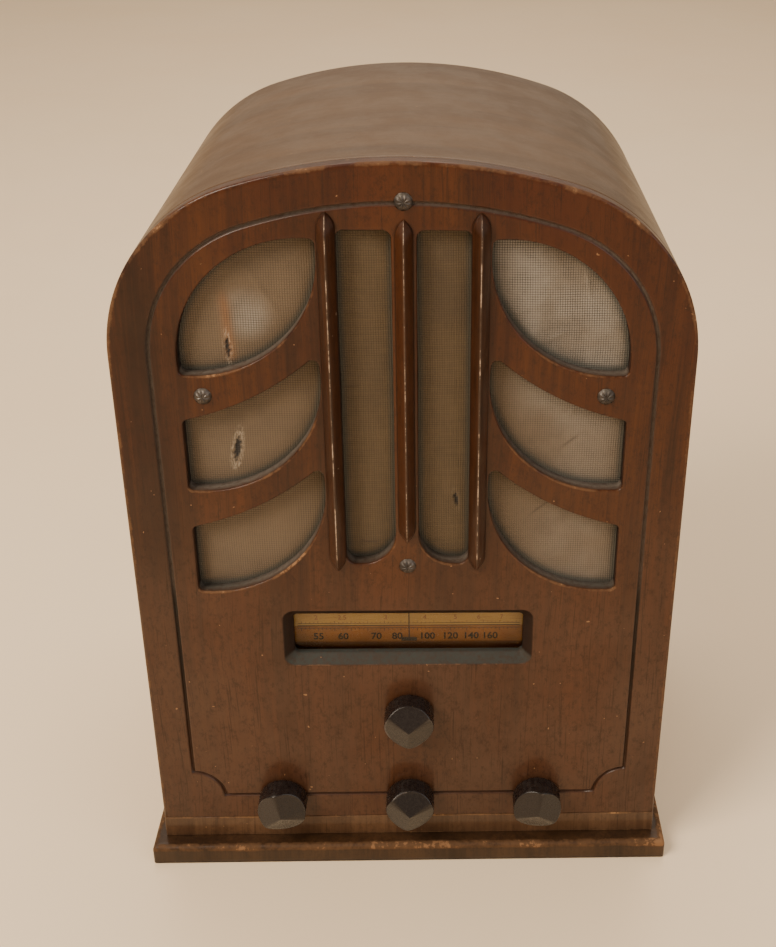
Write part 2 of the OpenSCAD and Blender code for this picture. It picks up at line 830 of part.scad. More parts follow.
module cord_grommet() {
    back = chassis_y + chassis_d;
    color("#1d1b1a") from_front() difference() {
        turned(grommet_x, grommet_z, back - 3.4) polygon([[4, 0], [grommet_r, 0], [grommet_r, 2],
            [grommet_r - 2, 2], [grommet_r - 2, 3.4], [grommet_r, 3.4], [grommet_r, 5.4], [4, 5.4]]);
    }
}

// The insulated strip with the aerial and earth screws
module aerial_terminals() {
    back = chassis_y + chassis_d;
    color("#4a3524") from_front() {
        translate([-88, back, 30]) cube([44, 2.5, 16]);
        for (x = [-78, -54])
            bar(x, 38, back + 2.5, 4, 4);
    }
}

// ---- Loudspeaker ----

module speaker_basket() {
    legs = 6;
    wall = 1.5;
    back_r = pot_r + 1;
    front_r = rim_r - 14;
    color("#5b5d5c") from_front() difference() {
        turned(0, speaker_z, rim_y) polygon([[front_r - wall, 0], [rim_r, 0], [rim_r, rim_t],
            [front_r, rim_t], [back_r, rim_t + basket_d - wall], [back_r, rim_t + basket_d],
            [gap_r + 4, rim_t + basket_d], [gap_r + 4, rim_t + basket_d - wall],
            [back_r - wall, rim_t + basket_d - wall - 0.5]]);
        at_bolts() bar(0, 0, rim_y - 1, rim_t + 2, bolt_hole_r);
        for (i = [0 : legs - 1])
            translate([0, 0, speaker_z]) rotate([0, 30 + i * 360 / legs, 0])
                translate([50, basket_y + 9, -17]) cube([50, basket_d - 20, 34]);
    }
}

module magnet_pot() {
    top_t = 7;
    color("#4b4d4e") from_front() turned(0, speaker_z, pot_y) polygon([[0, 0], [pole_r, 0],
        [pole_r, pot_d - 8], [pot_r - 6, pot_d - 8], [pot_r - 6, top_t], [gap_r, top_t], [gap_r, 0],
        [pot_r, 0], [pot_r, pot_d - 3], [pot_r - 3, pot_d], [0, pot_d]]);
}

module cone_surround() {
    color("#4a4038") from_front() turned(0, speaker_z, rim_y) polygon([[cone_r + 1, 3.2],
        [cone_r + 2.5, 1.6], [cone_r + 4, 3.2], [cone_r + 5.4, 1.6], [cone_r + 7.2, 0.25],
        [cone_r + 7.2, 0], [cone_r + 4.6, 0.2], [cone_r + 4, 2], [cone_r + 2.5, 0.4],
        [cone_r + 1, 2]]);
}

module speaker_cone() {
    front = basket_y + 2.6;
    back = pot_y - 9;
    color("#3f3730") from_front() turned(0, speaker_z, 0) polygon([[cone_r, front], [cone_r, front + 1.2],
        [neck_r, back + 1.2], [coil_r, back + 1.2], [coil_r, back - 2], [8, back - 6], [0, back - 7],
        [0, back - 8], [8, back - 7], [neck_r, back - 3], [neck_r + 0.5, back]]);
}

module voice_coil() {
    back = pot_y - 9;
    color("#a5713a") from_front() turned(0, speaker_z, back + 1.2)
        polygon([[coil_r, 0], [coil_r + 0.8, 0], [coil_r + 0.8, 11], [coil_r, 11]]);
}

// The output transformer, on a saddle on top of the magnet pot
module output_transformer() {
    z = speaker_z + pot_r + 3;
    color("#3a3836") from_front() {
        translate([-23, pot_y + 15, z]) cube([46, 15, 38]);
        translate([-15, pot_y + 7, z + 6]) cube([30, 31, 26]);
        difference() {
            translate([-14, pot_y + 10, speaker_z + pot_r - 5]) cube([28, 25, 8]);
            bar(0, speaker_z, pot_y, pot_d, pot_r);
        }
    }
}

base_board();
front_rail();
front_panel();
cabinet_wrap();
glue_blocks();
panel_cleats();
left_rib();
centre_rib();
right_rib();
speaker_board();
grille_cloth();
grille_bolts();
grille_nuts();
dial_glass();
dial_scale();
dial_plate();
lamp_sockets();
dial_lamps();
dial_cord();
chassis_pan();
chassis_bolts();
transformer_core();
transformer_covers();
gang_frame();
gang_stator();
gang_rotor();
dial_drum();
dial_pointer();
tuning_bracket();
tuning_shaft();
tuning_knob();
volume_control();
volume_shaft();
volume_knob();
band_switch();
band_shaft();
band_knob();
tone_control();
tone_shaft();
tone_knob();
control_nuts();
tube_sockets();
rectifier_tube();
output_tube();
tube_bases();
converter_shield();
amplifier_shield();
detector_shield();
front_coil_can();
rear_coil_can();
filter_capacitor();
cord_grommet();
aerial_terminals();
speaker_basket();
magnet_pot();
cone_surround();
speaker_cone();
voice_coil();
output_transformer();
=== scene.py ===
"""The looks of the cathedral table radio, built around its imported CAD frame.

Shapes are worked out in millimetres from the front panel's face: x to the right, y back
into the cabinet and z up from the table. place() turns them into the row frame's metres.
"""

import json
import math

import bmesh
import bpy
import numpy as np
from mathutils import Matrix, Vector
from mathutils.geometry import delaunay_2d_cdt


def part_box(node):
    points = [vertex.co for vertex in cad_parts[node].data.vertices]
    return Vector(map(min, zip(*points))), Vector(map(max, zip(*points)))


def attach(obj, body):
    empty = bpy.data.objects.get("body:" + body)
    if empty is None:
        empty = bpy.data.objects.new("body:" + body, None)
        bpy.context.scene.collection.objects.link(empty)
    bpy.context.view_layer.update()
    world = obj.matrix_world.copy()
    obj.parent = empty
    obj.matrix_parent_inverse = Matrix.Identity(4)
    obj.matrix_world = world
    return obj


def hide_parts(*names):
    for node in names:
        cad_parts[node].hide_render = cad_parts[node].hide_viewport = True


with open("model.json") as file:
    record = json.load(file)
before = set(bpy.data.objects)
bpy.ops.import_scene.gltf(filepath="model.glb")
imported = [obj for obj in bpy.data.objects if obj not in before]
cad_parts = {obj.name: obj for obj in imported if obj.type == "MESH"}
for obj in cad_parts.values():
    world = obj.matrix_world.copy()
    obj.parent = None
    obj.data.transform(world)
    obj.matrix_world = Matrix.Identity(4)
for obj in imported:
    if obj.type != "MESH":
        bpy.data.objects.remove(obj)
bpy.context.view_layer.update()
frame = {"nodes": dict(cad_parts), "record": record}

MM = 0.001
FACE_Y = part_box("front_panel")[0].y


def extent(node):
    """A CAD node's lowest and highest corners, in millimetres from the panel's face."""
    low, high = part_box(node)
    shift = Vector((0, FACE_Y, 0))
    return np.array((low - shift) / MM), np.array((high - shift) / MM)


# ---- Driving dimensions, from the frame ----

PANEL_LOW, PANEL_HIGH = extent("front_panel")
BASE_LOW, BASE_HIGH = extent("base_board")
HALF_W = PANEL_HIGH[0]
BODY_H = PANEL_HIGH[2]
PANEL_T = PANEL_HIGH[1]
BODY_D = extent("cabinet_wrap")[1][1]
RAIL_TOP = PANEL_LOW[2]
BASE_TOP = BASE_HIGH[2]
WRAP_T = 5.0
CROWN_R = 260.0
SHOULDER_R = 87.0
SHOULDER_X = HALF_W - SHOULDER_R
CROWN_Z = BODY_H - CROWN_R
SPRING_Z = CROWN_Z + math.sqrt((CROWN_R - SHOULDER_R) ** 2 - SHOULDER_X**2)
CROWN_ANGLE = math.degrees(math.atan2(SPRING_Z - CROWN_Z, SHOULDER_X))

GROOVE_INSET = 18.0
GROOVE_W = 2.2
GROOVE_DEPTH = 1.5
GROOVE_FOOT = 41.0
NOTCH_R = 17.0
SPEAKER_Z = 292.6
BOLT_PCD = 194.0
BOLT_HOLE_R = 2.6
TUNING_Z = 100.4
DIAL_Z = 150.0
DIAL_W, DIAL_H, DIAL_BEVEL = 122.0, 25.0, 5.0

LEAF_R, LEAF_BACK_R, TIP_R = 60.0, 139.0, 3.0
LEAF_OUT = 108.0
LEAF_AXIS = LEAF_OUT - 7.6
TOP_LEAF_Z, MID_LEAF_Z, LOW_LEAF_Z = 363.0, 300.0, 240.0
LEAF_BACK_SHIFT = np.array([37.4, 114.9])
CROWN_LEAF = np.array([47.8, 311.9])
SLOT_IN, SLOT_OUT, SLOT_FOOT, SLOT_HEAD = 5.8, 31.4, 196.5, 376.0


def place(points):
    """Points in millimetres from the panel's face, as metres in the row frame."""
    return np.asarray(points, float) * MM + np.array([0.0, FACE_Y, 0.0])


def in_scene(name, data):
    """A new object that holds some data, linked into the scene."""
    made = bpy.data.objects.new(name, data)
    bpy.context.scene.collection.objects.link(made)
    return made


# ---- Camera, lights and floor ----

CAMERA_AT = (0.01594, -0.6544, 0.5627)
CAMERA_PITCH, CAMERA_YAW, CAMERA_ROLL = 0.4598, 0.04223, 0.01932
CAMERA_LENS, CAMERA_SENSOR = 48.7, 36.0
CAMERA_SHIFT = (-0.1048, -0.0709)


def turn(angle, i, j):
    """A 3 by 3 turn that takes axis i towards axis j."""
    m = Matrix.Identity(3)
    m[i][i] = m[j][j] = math.cos(angle)
    m[i][j], m[j][i] = -math.sin(angle), math.sin(angle)
    return m


def make_camera():
    """The camera looks down on the front, with a small pitch, yaw and roll in turn."""
    ahead = Matrix(((1, 0, 0), (0, 0, -1), (0, 1, 0)))
    rows = turn(CAMERA_ROLL, 0, 1) @ turn(CAMERA_PITCH, 1, 2) @ turn(CAMERA_YAW, 0, 2) @ ahead
    right, down, forward = rows[0], rows[1], rows[2]
    camera = in_scene("camera", bpy.data.cameras.new("camera"))
    pose = Matrix((right, -down, -forward)).transposed().to_4x4()
    pose.translation = CAMERA_AT
    camera.matrix_world = pose
    camera.data.sensor_fit = "VERTICAL"
    camera.data.sensor_height = CAMERA_SENSOR
    camera.data.lens = CAMERA_LENS
    camera.data.shift_x, camera.data.shift_y = CAMERA_SHIFT
    camera.data.clip_start = 0.01
    bpy.context.scene.camera = camera


make_camera()


def area_light(name, at, aim, size, power, colour):
    """A square soft light at one point, looking at another."""
    light = bpy.data.lights.new(name, "AREA")
    light.size, light.energy, light.color = size, power, colour
    facing = (Vector(aim) - Vector(at)).to_track_quat("-Z", "Y").to_matrix().to_4x4()
    in_scene(name, light).matrix_world = Matrix.Translation(at) @ facing


area_light("key_light", (-1.2, -1.0, 1.6), (0, 0, 0.2), 1.0, 50, (1.0, 0.87, 0.71))
area_light("fill_light", (1.5, -1.2, 1.1), (0, 0, 0.2), 1.5, 11, (0.94, 0.97, 1.0))
area_light("top_light", (0.0, 0.7, 1.9), (0, 0, 0.3), 1.4, 15, (1.0, 0.91, 0.80))
area_light("far_light", (0.0, 2.2, 1.7), (0, 2.0, 0), 2.0, 12, (1.0, 0.86, 0.70))


# ---- Node trees ----


def plug(tree, socket, value):
    """A link or a constant for one socket."""
    if isinstance(value, bpy.types.NodeSocket):
        tree.links.new(value, socket)
    else:
        socket.default_value = value


def node(tree, kind, inputs=None, **settings):
    """A shader node with its settings, its constants and its links."""
    made = tree.nodes.new("ShaderNode" + kind)
    for name, value in settings.items():
        setattr(made, name, value)
    for name, value in (inputs or {}).items():
        plug(tree, made.inputs[name], value)
    return made


def math_node(tree, operation, *values):
    """A Math node's output, from sockets and numbers."""
    return node(tree, "Math", dict(enumerate(values)), operation=operation).outputs[0]


def times(tree, a, b):
    """Two values multiplied."""
    return math_node(tree, "MULTIPLY", a, b)


def plus(tree, a, b):
    """Two values added."""
    return math_node(tree, "ADD", a, b)


def noise(tree, vector, scale, detail=3.0, roughness=0.55):
    """A Noise Texture's value at a vector."""
    inputs = {"Vector": vector, "Scale": scale, "Detail": detail, "Roughness": roughness}
    return node(tree, "TexNoise", inputs).outputs["Fac"]


def between(tree, value, low, high, to_low=0.0, to_high=1.0):
    """A value's place between low and high, as a smooth step from to_low to to_high."""
    inputs = {"Value": value, "From Min": low, "From Max": high, "To Min": to_low, "To Max": to_high}
    return node(tree, "MapRange", inputs, interpolation_type="SMOOTHSTEP").outputs["Result"]


def mix(tree, share, a, b):
    """Two colours mixed by a share."""
    return node(tree, "Mix", {0: share, 6: a, 7: b}, data_type="RGBA").outputs[2]


def layered(tree, colour, *layers):
    """A colour with layers mixed over it in turn, each a share and a colour."""
    for share, over in layers:
        colour = mix(tree, share, colour, over)
    return colour


def stretched(tree, vector, scale):
    """A vector scaled by a Mapping node."""
    return node(tree, "Mapping", {"Vector": vector, "Scale": scale}).outputs[0]


def drifted(tree, vector, amount, reach):
    """A vector moved by an amount times a reach along each named axis."""
    shift = node(tree, "CombineXYZ", {axis: times(tree, amount, far) for axis, far in reach.items()})
    return node(tree, "VectorMath", {0: vector, 1: shift.outputs[0]}, operation="ADD").outputs[0]


def height_of(tree, vector):
    """A vector's Z."""
    return node(tree, "SeparateXYZ", {0: vector}).outputs["Z"]


def attribute(tree, name):
    """The value of a point attribute."""
    return node(tree, "Attribute", attribute_name=name).outputs["Fac"]


def group(name, values, results):
    """A node group that takes a vector and values: its tree, its inputs and set_output."""
    tree = bpy.data.node_groups.new(name, "ShaderNodeTree")
    tree.interface.new_socket("Vector", in_out="INPUT", socket_type="NodeSocketVector")
    for way, names in (("INPUT", values), ("OUTPUT", results)):
        for socket in names:
            tree.interface.new_socket(socket, in_out=way, socket_type="NodeSocketFloat")
    start = tree.nodes.new("NodeGroupInput")
    end = tree.nodes.new("NodeGroupOutput")

    def set_output(socket, value):
        tree.links.new(value, end.inputs[socket])

    return tree, start.outputs, set_output


def grain_group():
    """Wood figure along the vector's Z: broad bands, streaks and fine open pores.

    Figure runs from 0 in the dark lines to 1 in the pale ones, and Pores is 1 in a pore."""
    tree, inputs, output = group("wood_grain", (), ("Figure", "Pores"))
    waver = noise(tree, stretched(tree, inputs["Vector"], (6, 6, 2.5)), 1.0, 2.0)
    moved = drifted(tree, inputs["Vector"], waver, {"X": 0.03})
    bands = noise(tree, stretched(tree, moved, (34, 34, 1.6)), 1.0, 3.0, 0.6)
    streaks = noise(tree, stretched(tree, moved, (260, 260, 7)), 1.0, 3.0, 0.65)
    fine = noise(tree, stretched(tree, moved, (1100, 1100, 26)), 1.0, 2.0, 0.6)
    lines = plus(tree, times(tree, streaks, 0.32), times(tree, fine, 0.18))
    output("Figure", between(tree, plus(tree, times(tree, bands, 0.5), lines), 0.34, 0.64))
    output("Pores", between(tree, fine, 0.56, 0.72))
    return tree


def wear_group():
    """Rubbed edges and chips: an edge value, broken up by coarse and fine noise."""
    tree, inputs, output = group("edge_wear", ("Edge", "Amount"), ("Rubbed", "Chips"))
    coarse = noise(tree, inputs["Vector"], 38.0, 4.0, 0.7)
    fine = noise(tree, inputs["Vector"], 420.0, 4.0, 0.7)
    level = times(tree, times(tree, inputs["Edge"], inputs["Amount"]), 0.5)
    worn = plus(tree, plus(tree, coarse, times(tree, fine, 0.45)), level)
    on_edge = between(tree, inputs["Edge"], 0.02, 0.25)
    output("Rubbed", times(tree, between(tree, worn, 0.94, 1.16), on_edge))
    output("Chips", times(tree, between(tree, worn, 1.17, 1.22), on_edge))
    return tree


def dust_group():
    """Dust that settles where a surface looks up, and a mottled haze everywhere.

    Settled is 1 in thick dust and Haze varies slowly from 0 to 1."""
    tree, inputs, output = group("dust", (), ("Settled", "Haze"))
    up = height_of(tree, node(tree, "NewGeometry").outputs["Normal"])
    speckle = noise(tree, inputs["Vector"], 300.0, 4.0, 0.7)
    cloud = noise(tree, inputs["Vector"], 14.0, 4.0, 0.6)
    settled = times(tree, between(tree, up, 0.3, 0.9), between(tree, speckle, 0.3, 0.7))
    output("Settled", settled)
    output("Haze", between(tree, cloud, 0.3, 0.7))
    return tree


def tarnish_group():
    """Old metal: blotches of oxide and fine scratches, each from 0 to 1."""
    tree, inputs, output = group("tarnish", (), ("Blotches", "Scratches"))
    blotches = noise(tree, inputs["Vector"], 70.0, 5.0, 0.65)
    scratches = noise(tree, stretched(tree, inputs["Vector"], (60, 700, 900)), 1.0, 3.0)
    output("Blotches", between(tree, blotches, 0.38, 0.66))
    output("Scratches", between(tree, scratches, 0.5, 0.75))
    return tree


def weave_group():
    """Plain weave in a vector of threads: the size of a product of two sine waves.

    Height is the cloth's surface, high where the threads bulge, and Gap is 1 in the holes
    between them."""
    tree, inputs, output = group("weave", (), ("Height", "Gap"))
    parts = node(tree, "SeparateXYZ", {0: inputs["Vector"]}).outputs
    warp, weft = [math_node(tree, "SINE", times(tree, parts[axis], math.pi)) for axis in "XY"]
    depth = math_node(tree, "ABSOLUTE", times(tree, warp, weft))
    output("Height", math_node(tree, "POWER", depth, 0.6))
    output("Gap", between(tree, depth, 0.5, 0.08))
    return tree


GRAIN, WEAR, DUST = grain_group(), wear_group(), dust_group()
TARNISH, WEAVE = tarnish_group(), weave_group()


def use(tree, made_group, **inputs):
    """A node group placed in a material: its outputs."""
    placed = tree.nodes.new("ShaderNodeGroup")
    placed.node_tree = made_group
    for name, value in inputs.items():
        plug(tree, placed.inputs[name], value)
    return placed.outputs


def new_material(name):
    """An empty node material: itself, its tree, its shader and its Object coordinates."""
    material = bpy.data.materials.new(name)
    material.use_nodes = True
    tree = material.node_tree
    at = node(tree, "TexCoord").outputs["Object"]
    return material, tree, tree.nodes["Principled BSDF"], at


def connect(tree, shader, **inputs):
    """Links or constants for a shader's sockets, named with underscores for their spaces."""
    for name, value in inputs.items():
        plug(tree, shader.inputs[name.replace("_", " ")], value)


def bump(tree, height, distance, strength, under=None):
    """A Bump node's normal, laid over another normal if there is one."""
    inputs = {"Height": height, "Distance": distance, "Strength": strength}
    if under is not None:
        inputs["Normal"] = under
    return node(tree, "Bump", inputs).outputs[0]


def flat_vector(tree):
    """The UVs, in metres."""
    return node(tree, "TexCoord").outputs["UV"]


def shade(colour, factor):
    """A colour made darker or lighter, with its alpha kept."""
    return tuple(c * factor for c in colour[:3]) + (1.0,)


# ---- Materials ----

VARNISH_ROUGHNESS, VARNISH_SPECULAR = 0.13, 0.2
THREAD_PITCH = 0.0012
# Film colours: dark teal low on the panel and pale grey above, where the pale one is dust and also a
# painted sheen on the groove and the openings' ledges.
LOW_DIRT, HIGH_DIRT_AND_SHEEN = (0.036, 0.042, 0.038, 1), (0.125, 0.105, 0.088, 1)
METAL_DUST, PLASTIC_DUST = (0.2, 0.18, 0.15, 1), (0.14, 0.12, 0.10, 1)


def wood(name, deep, pale, haze, worn, roughness=0.42, amount=1.0, red_top=None, on_uv=False,
         coat=0.25, crazed=0.5, chip=None):
    """Veneer under old varnish: figured colour, a hazy mottle, crazing, a film of dust and painted
    sheen, painted shade in hollows, nicks and worn edges.

    With red_top the haze colour is a painted reflection of the floor that thickens towards the foot, and
    a red blush comes in towards the top. With on_uv the figure runs along the UVs' second direction."""
    material, tree, shader, at = new_material(name)
    height = height_of(tree, at)
    along = at
    if on_uv:
        flat = node(tree, "SeparateXYZ", {0: flat_vector(tree)}).outputs
        along = node(tree, "CombineXYZ", {"X": flat["X"], "Z": flat["Y"]}).outputs[0]
    grain = use(tree, GRAIN, Vector=along)
    dust = use(tree, DUST, Vector=at)
    colour = mix(tree, grain["Figure"], deep, pale)
    if red_top is None:
        colour = mix(tree, times(tree, dust["Haze"], 0.18), colour, haze)
    else:
        # Painted reflection of the floor, thickening towards the foot.
        drift = plus(tree, times(tree, dust["Haze"], 0.45), 0.35)
        lower = times(tree, between(tree, height, 0.30, 0.10), drift)
        blush = times(tree, between(tree, height, 0.2, 0.42, 0, 0.6), dust["Haze"])
        colour = layered(tree, colour, (lower, haze), (blush, red_top))
    speck = noise(tree, stretched(tree, at, (1, 1, 0.6)), 420.0, 5.0, 0.75)
    crazing = times(tree, between(tree, speck, 0.45, 0.75), crazed)
    wear = use(tree, WEAR, Vector=at, Edge=attribute(tree, "edge"), Amount=amount)
    recess, grime = attribute(tree, "recess"), attribute(tree, "grime")
    film = times(tree, grime, between(tree, speck, 0.3, 0.6, 0.45, 0.95))
    colour = layered(
        tree, colour,
        (crazing, shade(deep, 0.5)),
        (times(tree, grain["Pores"], 0.45), shade(deep, 0.4)),
        # Painted shade in hollows, from the recess value.
        (times(tree, recess, 0.9), shade(deep, 0.25)),
        # A film of dust, whose pale colour high on the panel is also a painted sheen.
        (film, mix(tree, between(tree, height, 0.17, 0.19), LOW_DIRT, HIGH_DIRT_AND_SHEEN)),
        (times(tree, wear["Rubbed"], 0.6), worn),
        (wear["Chips"], chip or shade(worn, 1.6)),
        (between(tree, noise(tree, at, 330.0, 1.0), 0.79, 0.81, 0, 0.7), shade(worn, 1.8)),
    )
    smudge = noise(tree, at, 45.0, 5.0, 0.65)
    dull = math_node(tree, "MAXIMUM", grime, math_node(tree, "MAXIMUM", recess, wear["Rubbed"]))
    gloss = between(tree, smudge, 0.3, 0.7, roughness - 0.07, roughness + 0.1)
    varnish = between(tree, smudge, 0.2, 0.8, coat, coat * 0.75)
    hollows = plus(tree, grain["Pores"], times(tree, wear["Chips"], 2.0))
    relief = math_node(tree, "SUBTRACT", times(tree, grain["Figure"], 0.4), hollows)
    fine = bump(tree, math_node(tree, "SUBTRACT", relief, crazing), 0.00006, 0.6)
    connect(
        tree, shader,
        Base_Color=colour,
        Roughness=plus(tree, gloss, times(tree, dull, 0.3)),
        Normal=bump(tree, noise(tree, at, 14.0, 2.0), 0.0012, 0.2, fine),
        Coat_Weight=times(tree, between(tree, dull, 0.0, 0.6, 1.0, 0.1), varnish),
        Coat_Roughness=VARNISH_ROUGHNESS,
        Specular_IOR_Level=VARNISH_SPECULAR,
    )
    return material


def metal(name, colour, oxide, roughness=0.4, metallic=1.0):
    """Dull metal with oxide blotches, fine scratches, dust and a slightly uneven surface."""
    material, tree, shader, at = new_material(name)
    age = use(tree, TARNISH, Vector=at)
    settled = use(tree, DUST, Vector=at)["Settled"]
    scratched = plus(tree, times(tree, age["Scratches"], 0.12), roughness)
    connect(
        tree, shader,
        Base_Color=layered(tree, colour, (times(tree, age["Blotches"], 0.7), oxide),
                           (times(tree, settled, 0.5), METAL_DUST)),
        Roughness=plus(tree, times(tree, age["Blotches"], 0.18), scratched),
        Metallic=plus(tree, times(tree, settled, -0.5 * metallic), metallic),
        Normal=bump(tree, age["Blotches"], 0.00008, 0.4),
    )
    return material


def moulded(name, colour, worn, roughness=0.3, amount=0.8, grit=0.5):
    """Moulded plastic, fibre, rubber or ink: mottled, dusty and rubbed pale on its edges."""
    material, tree, shader, at = new_material(name)
    dust = use(tree, DUST, Vector=at)
    wear = use(tree, WEAR, Vector=at, Edge=attribute(tree, "edge"), Amount=amount)
    speckle = noise(tree, at, 600.0, 4.0, 0.7)
    rough = between(tree, speckle, 0.3, 0.7, roughness - 0.06, roughness + 0.12)
    connect(
        tree, shader,
        Base_Color=layered(tree, colour, (times(tree, dust["Haze"], 0.5), shade(colour, 1.7)),
                           (times(tree, dust["Settled"], 0.07), PLASTIC_DUST),
                           (times(tree, wear["Rubbed"], 0.6), worn)),
        Roughness=plus(tree, rough, times(tree, wear["Rubbed"], 0.2)),
        Normal=bump(tree, speckle, 0.00005, grit),
    )
    return material


def paper(name, colour, fibre):
    """Pressed paper or thread: soft blotches and a fibrous surface."""
    material, tree, shader, at = new_material(name)
    fibres = noise(tree, at, 900.0, 4.0, 0.7)
    connect(
        tree, shader,
        Base_Color=mix(tree, between(tree, noise(tree, at, 40.0), 0.3, 0.7), colour, fibre),
        Roughness=between(tree, fibres, 0.2, 0.8, 0.75, 0.95),
        Normal=bump(tree, fibres, 0.0002, 0.6),
    )
    return material


def glass(name, colour, roughness, smoke=None, ior=1.46):
    """Clear glass with finger smudges, and an optional smoky film in blotches."""
    material, tree, shader, at = new_material(name)
    smudge = noise(tree, at, 60.0, 4.0, 0.6)
    if smoke is not None:
        colour = mix(tree, between(tree, noise(tree, at, 25.0), 0.45, 0.7), colour, smoke)
    connect(
        tree, shader,
        Base_Color=colour,
        Roughness=between(tree, smudge, 0.35, 0.75, roughness, roughness + 0.12),
        Transmission_Weight=1.0,
        IOR=ior,
    )
    return material


def grille_cloth_material():
    """Plain weave of tan thread, silvery where the nap has gone and stained, with painted shade near the
    openings' edges and along snags, and tears painted near-black for the shade behind them.
    """
    material, tree, shader, at = new_material("aged_grille_cloth")
    uv = flat_vector(tree)
    bent = drifted(tree, uv, noise(tree, at, 9.0, 2.0), {"X": 0.004, "Y": -0.003})
    weave = use(tree, WEAVE, Vector=stretched(tree, bent, (1 / THREAD_PITCH, 1 / THREAD_PITCH, 1)))
    slub = noise(tree, stretched(tree, uv, (900, 90, 1)), 1.0, 3.0, 0.6)
    streak = noise(tree, stretched(tree, uv, (60, 700, 1)), 1.0, 3.0, 0.6)
    thread = mix(tree, times(tree, plus(tree, slub, streak), 0.5),
                 (0.060, 0.040, 0.019, 1), (0.175, 0.117, 0.058, 1))
    faded = attribute(tree, "faded")
    nap = times(tree, faded, between(tree, noise(tree, at, 32.0, 4.0), 0.25, 0.6, 0.35, 1.0))
    cloud = noise(tree, at, 20.0, 5.0, 0.6)
    felted = between(tree, noise(tree, at, 55.0, 4.0, 0.6), 0.3, 0.62, 0.45, 1.0)
    gap = times(tree, between(tree, faded, 0.0, 1.0, 0.42, 0.85), felted)
    loose = between(tree, noise(tree, stretched(tree, uv, (1500, 400, 1)), 1.0, 3.0), 0.4, 0.6)
    colour = layered(
        tree, thread,
        (between(tree, attribute(tree, "leaf"), 0, 1, 0, 0.6), (0.152, 0.107, 0.067, 1)),
        (nap, (0.28, 0.250, 0.212, 1)),
        (between(tree, cloud, 0.5, 0.72, 0, 0.5), (0.075, 0.05, 0.028, 1)),
        (times(tree, attribute(tree, "stained"), 0.85), (0.22, 0.105, 0.042, 1)),
        (times(tree, weave["Gap"], gap), (0.024, 0.018, 0.012, 1)),
        # Painted shadow on the cloth near the openings' edges.
        (times(tree, attribute(tree, "recess"), 0.72), (0.040, 0.044, 0.036, 1)),
        # Painted shade along snags.
        (times(tree, attribute(tree, "creased"), 0.55), (0.04, 0.025, 0.015, 1)),
        (times(tree, attribute(tree, "frayed"), loose), (0.50, 0.43, 0.33, 1)),
        # Painted shade: the tears are painted near-black for the dark behind them.
        (attribute(tree, "torn"), (0.006, 0.004, 0.003, 1)),
    )
    connect(
        tree, shader,
        Base_Color=colour,
        Roughness=between(tree, weave["Height"], 0, 1, 0.9, 0.6),
        Normal=bump(tree, weave["Height"], 0.0003, 0.8),
        Sheen_Weight=0.2,
        Sheen_Roughness=0.5,
    )
    return material


def scale_material():
    """Amber celluloid: a pale strip on top and deeper amber below, with a painted shadow of the sill,
    dark brown along the foot.
    """
    material, tree, shader, at = new_material("amber_scale")
    height = height_of(tree, at)
    mottle = noise(tree, at, 60.0, 4.0, 0.6)
    streak = noise(tree, stretched(tree, at, (60, 1, 900)), 1.0, 3.0, 0.6)
    upper = between(tree, height, (DIAL_Z - 2.4) * MM, (DIAL_Z - 1.4) * MM)
    # Painted shadow of the sill, dark brown along the scale's foot.
    foot = between(tree, height, (DIAL_Z - 11.6) * MM, (DIAL_Z - 13.4) * MM, 0, 0.9)
    low_tint = mix(tree, mottle, (0.10, 0.022, 0.0006, 1), (0.36, 0.13, 0.002, 1))
    high_tint = mix(tree, mottle, (0.32, 0.175, 0.034, 1), (0.48, 0.29, 0.075, 1))
    colour = layered(
        tree, low_tint,
        (upper, high_tint),
        (between(tree, streak, 0.5, 0.7, 0, 0.35), (0.14, 0.05, 0.006, 1)),
        (foot, (0.06, 0.018, 0.003, 1)),
    )
    connect(
        tree, shader,
        Base_Color=colour,
        Roughness=between(tree, mottle, 0.3, 0.7, 0.35, 0.5),
        Normal=bump(tree, mottle, 0.0001, 0.3),
    )
    return material


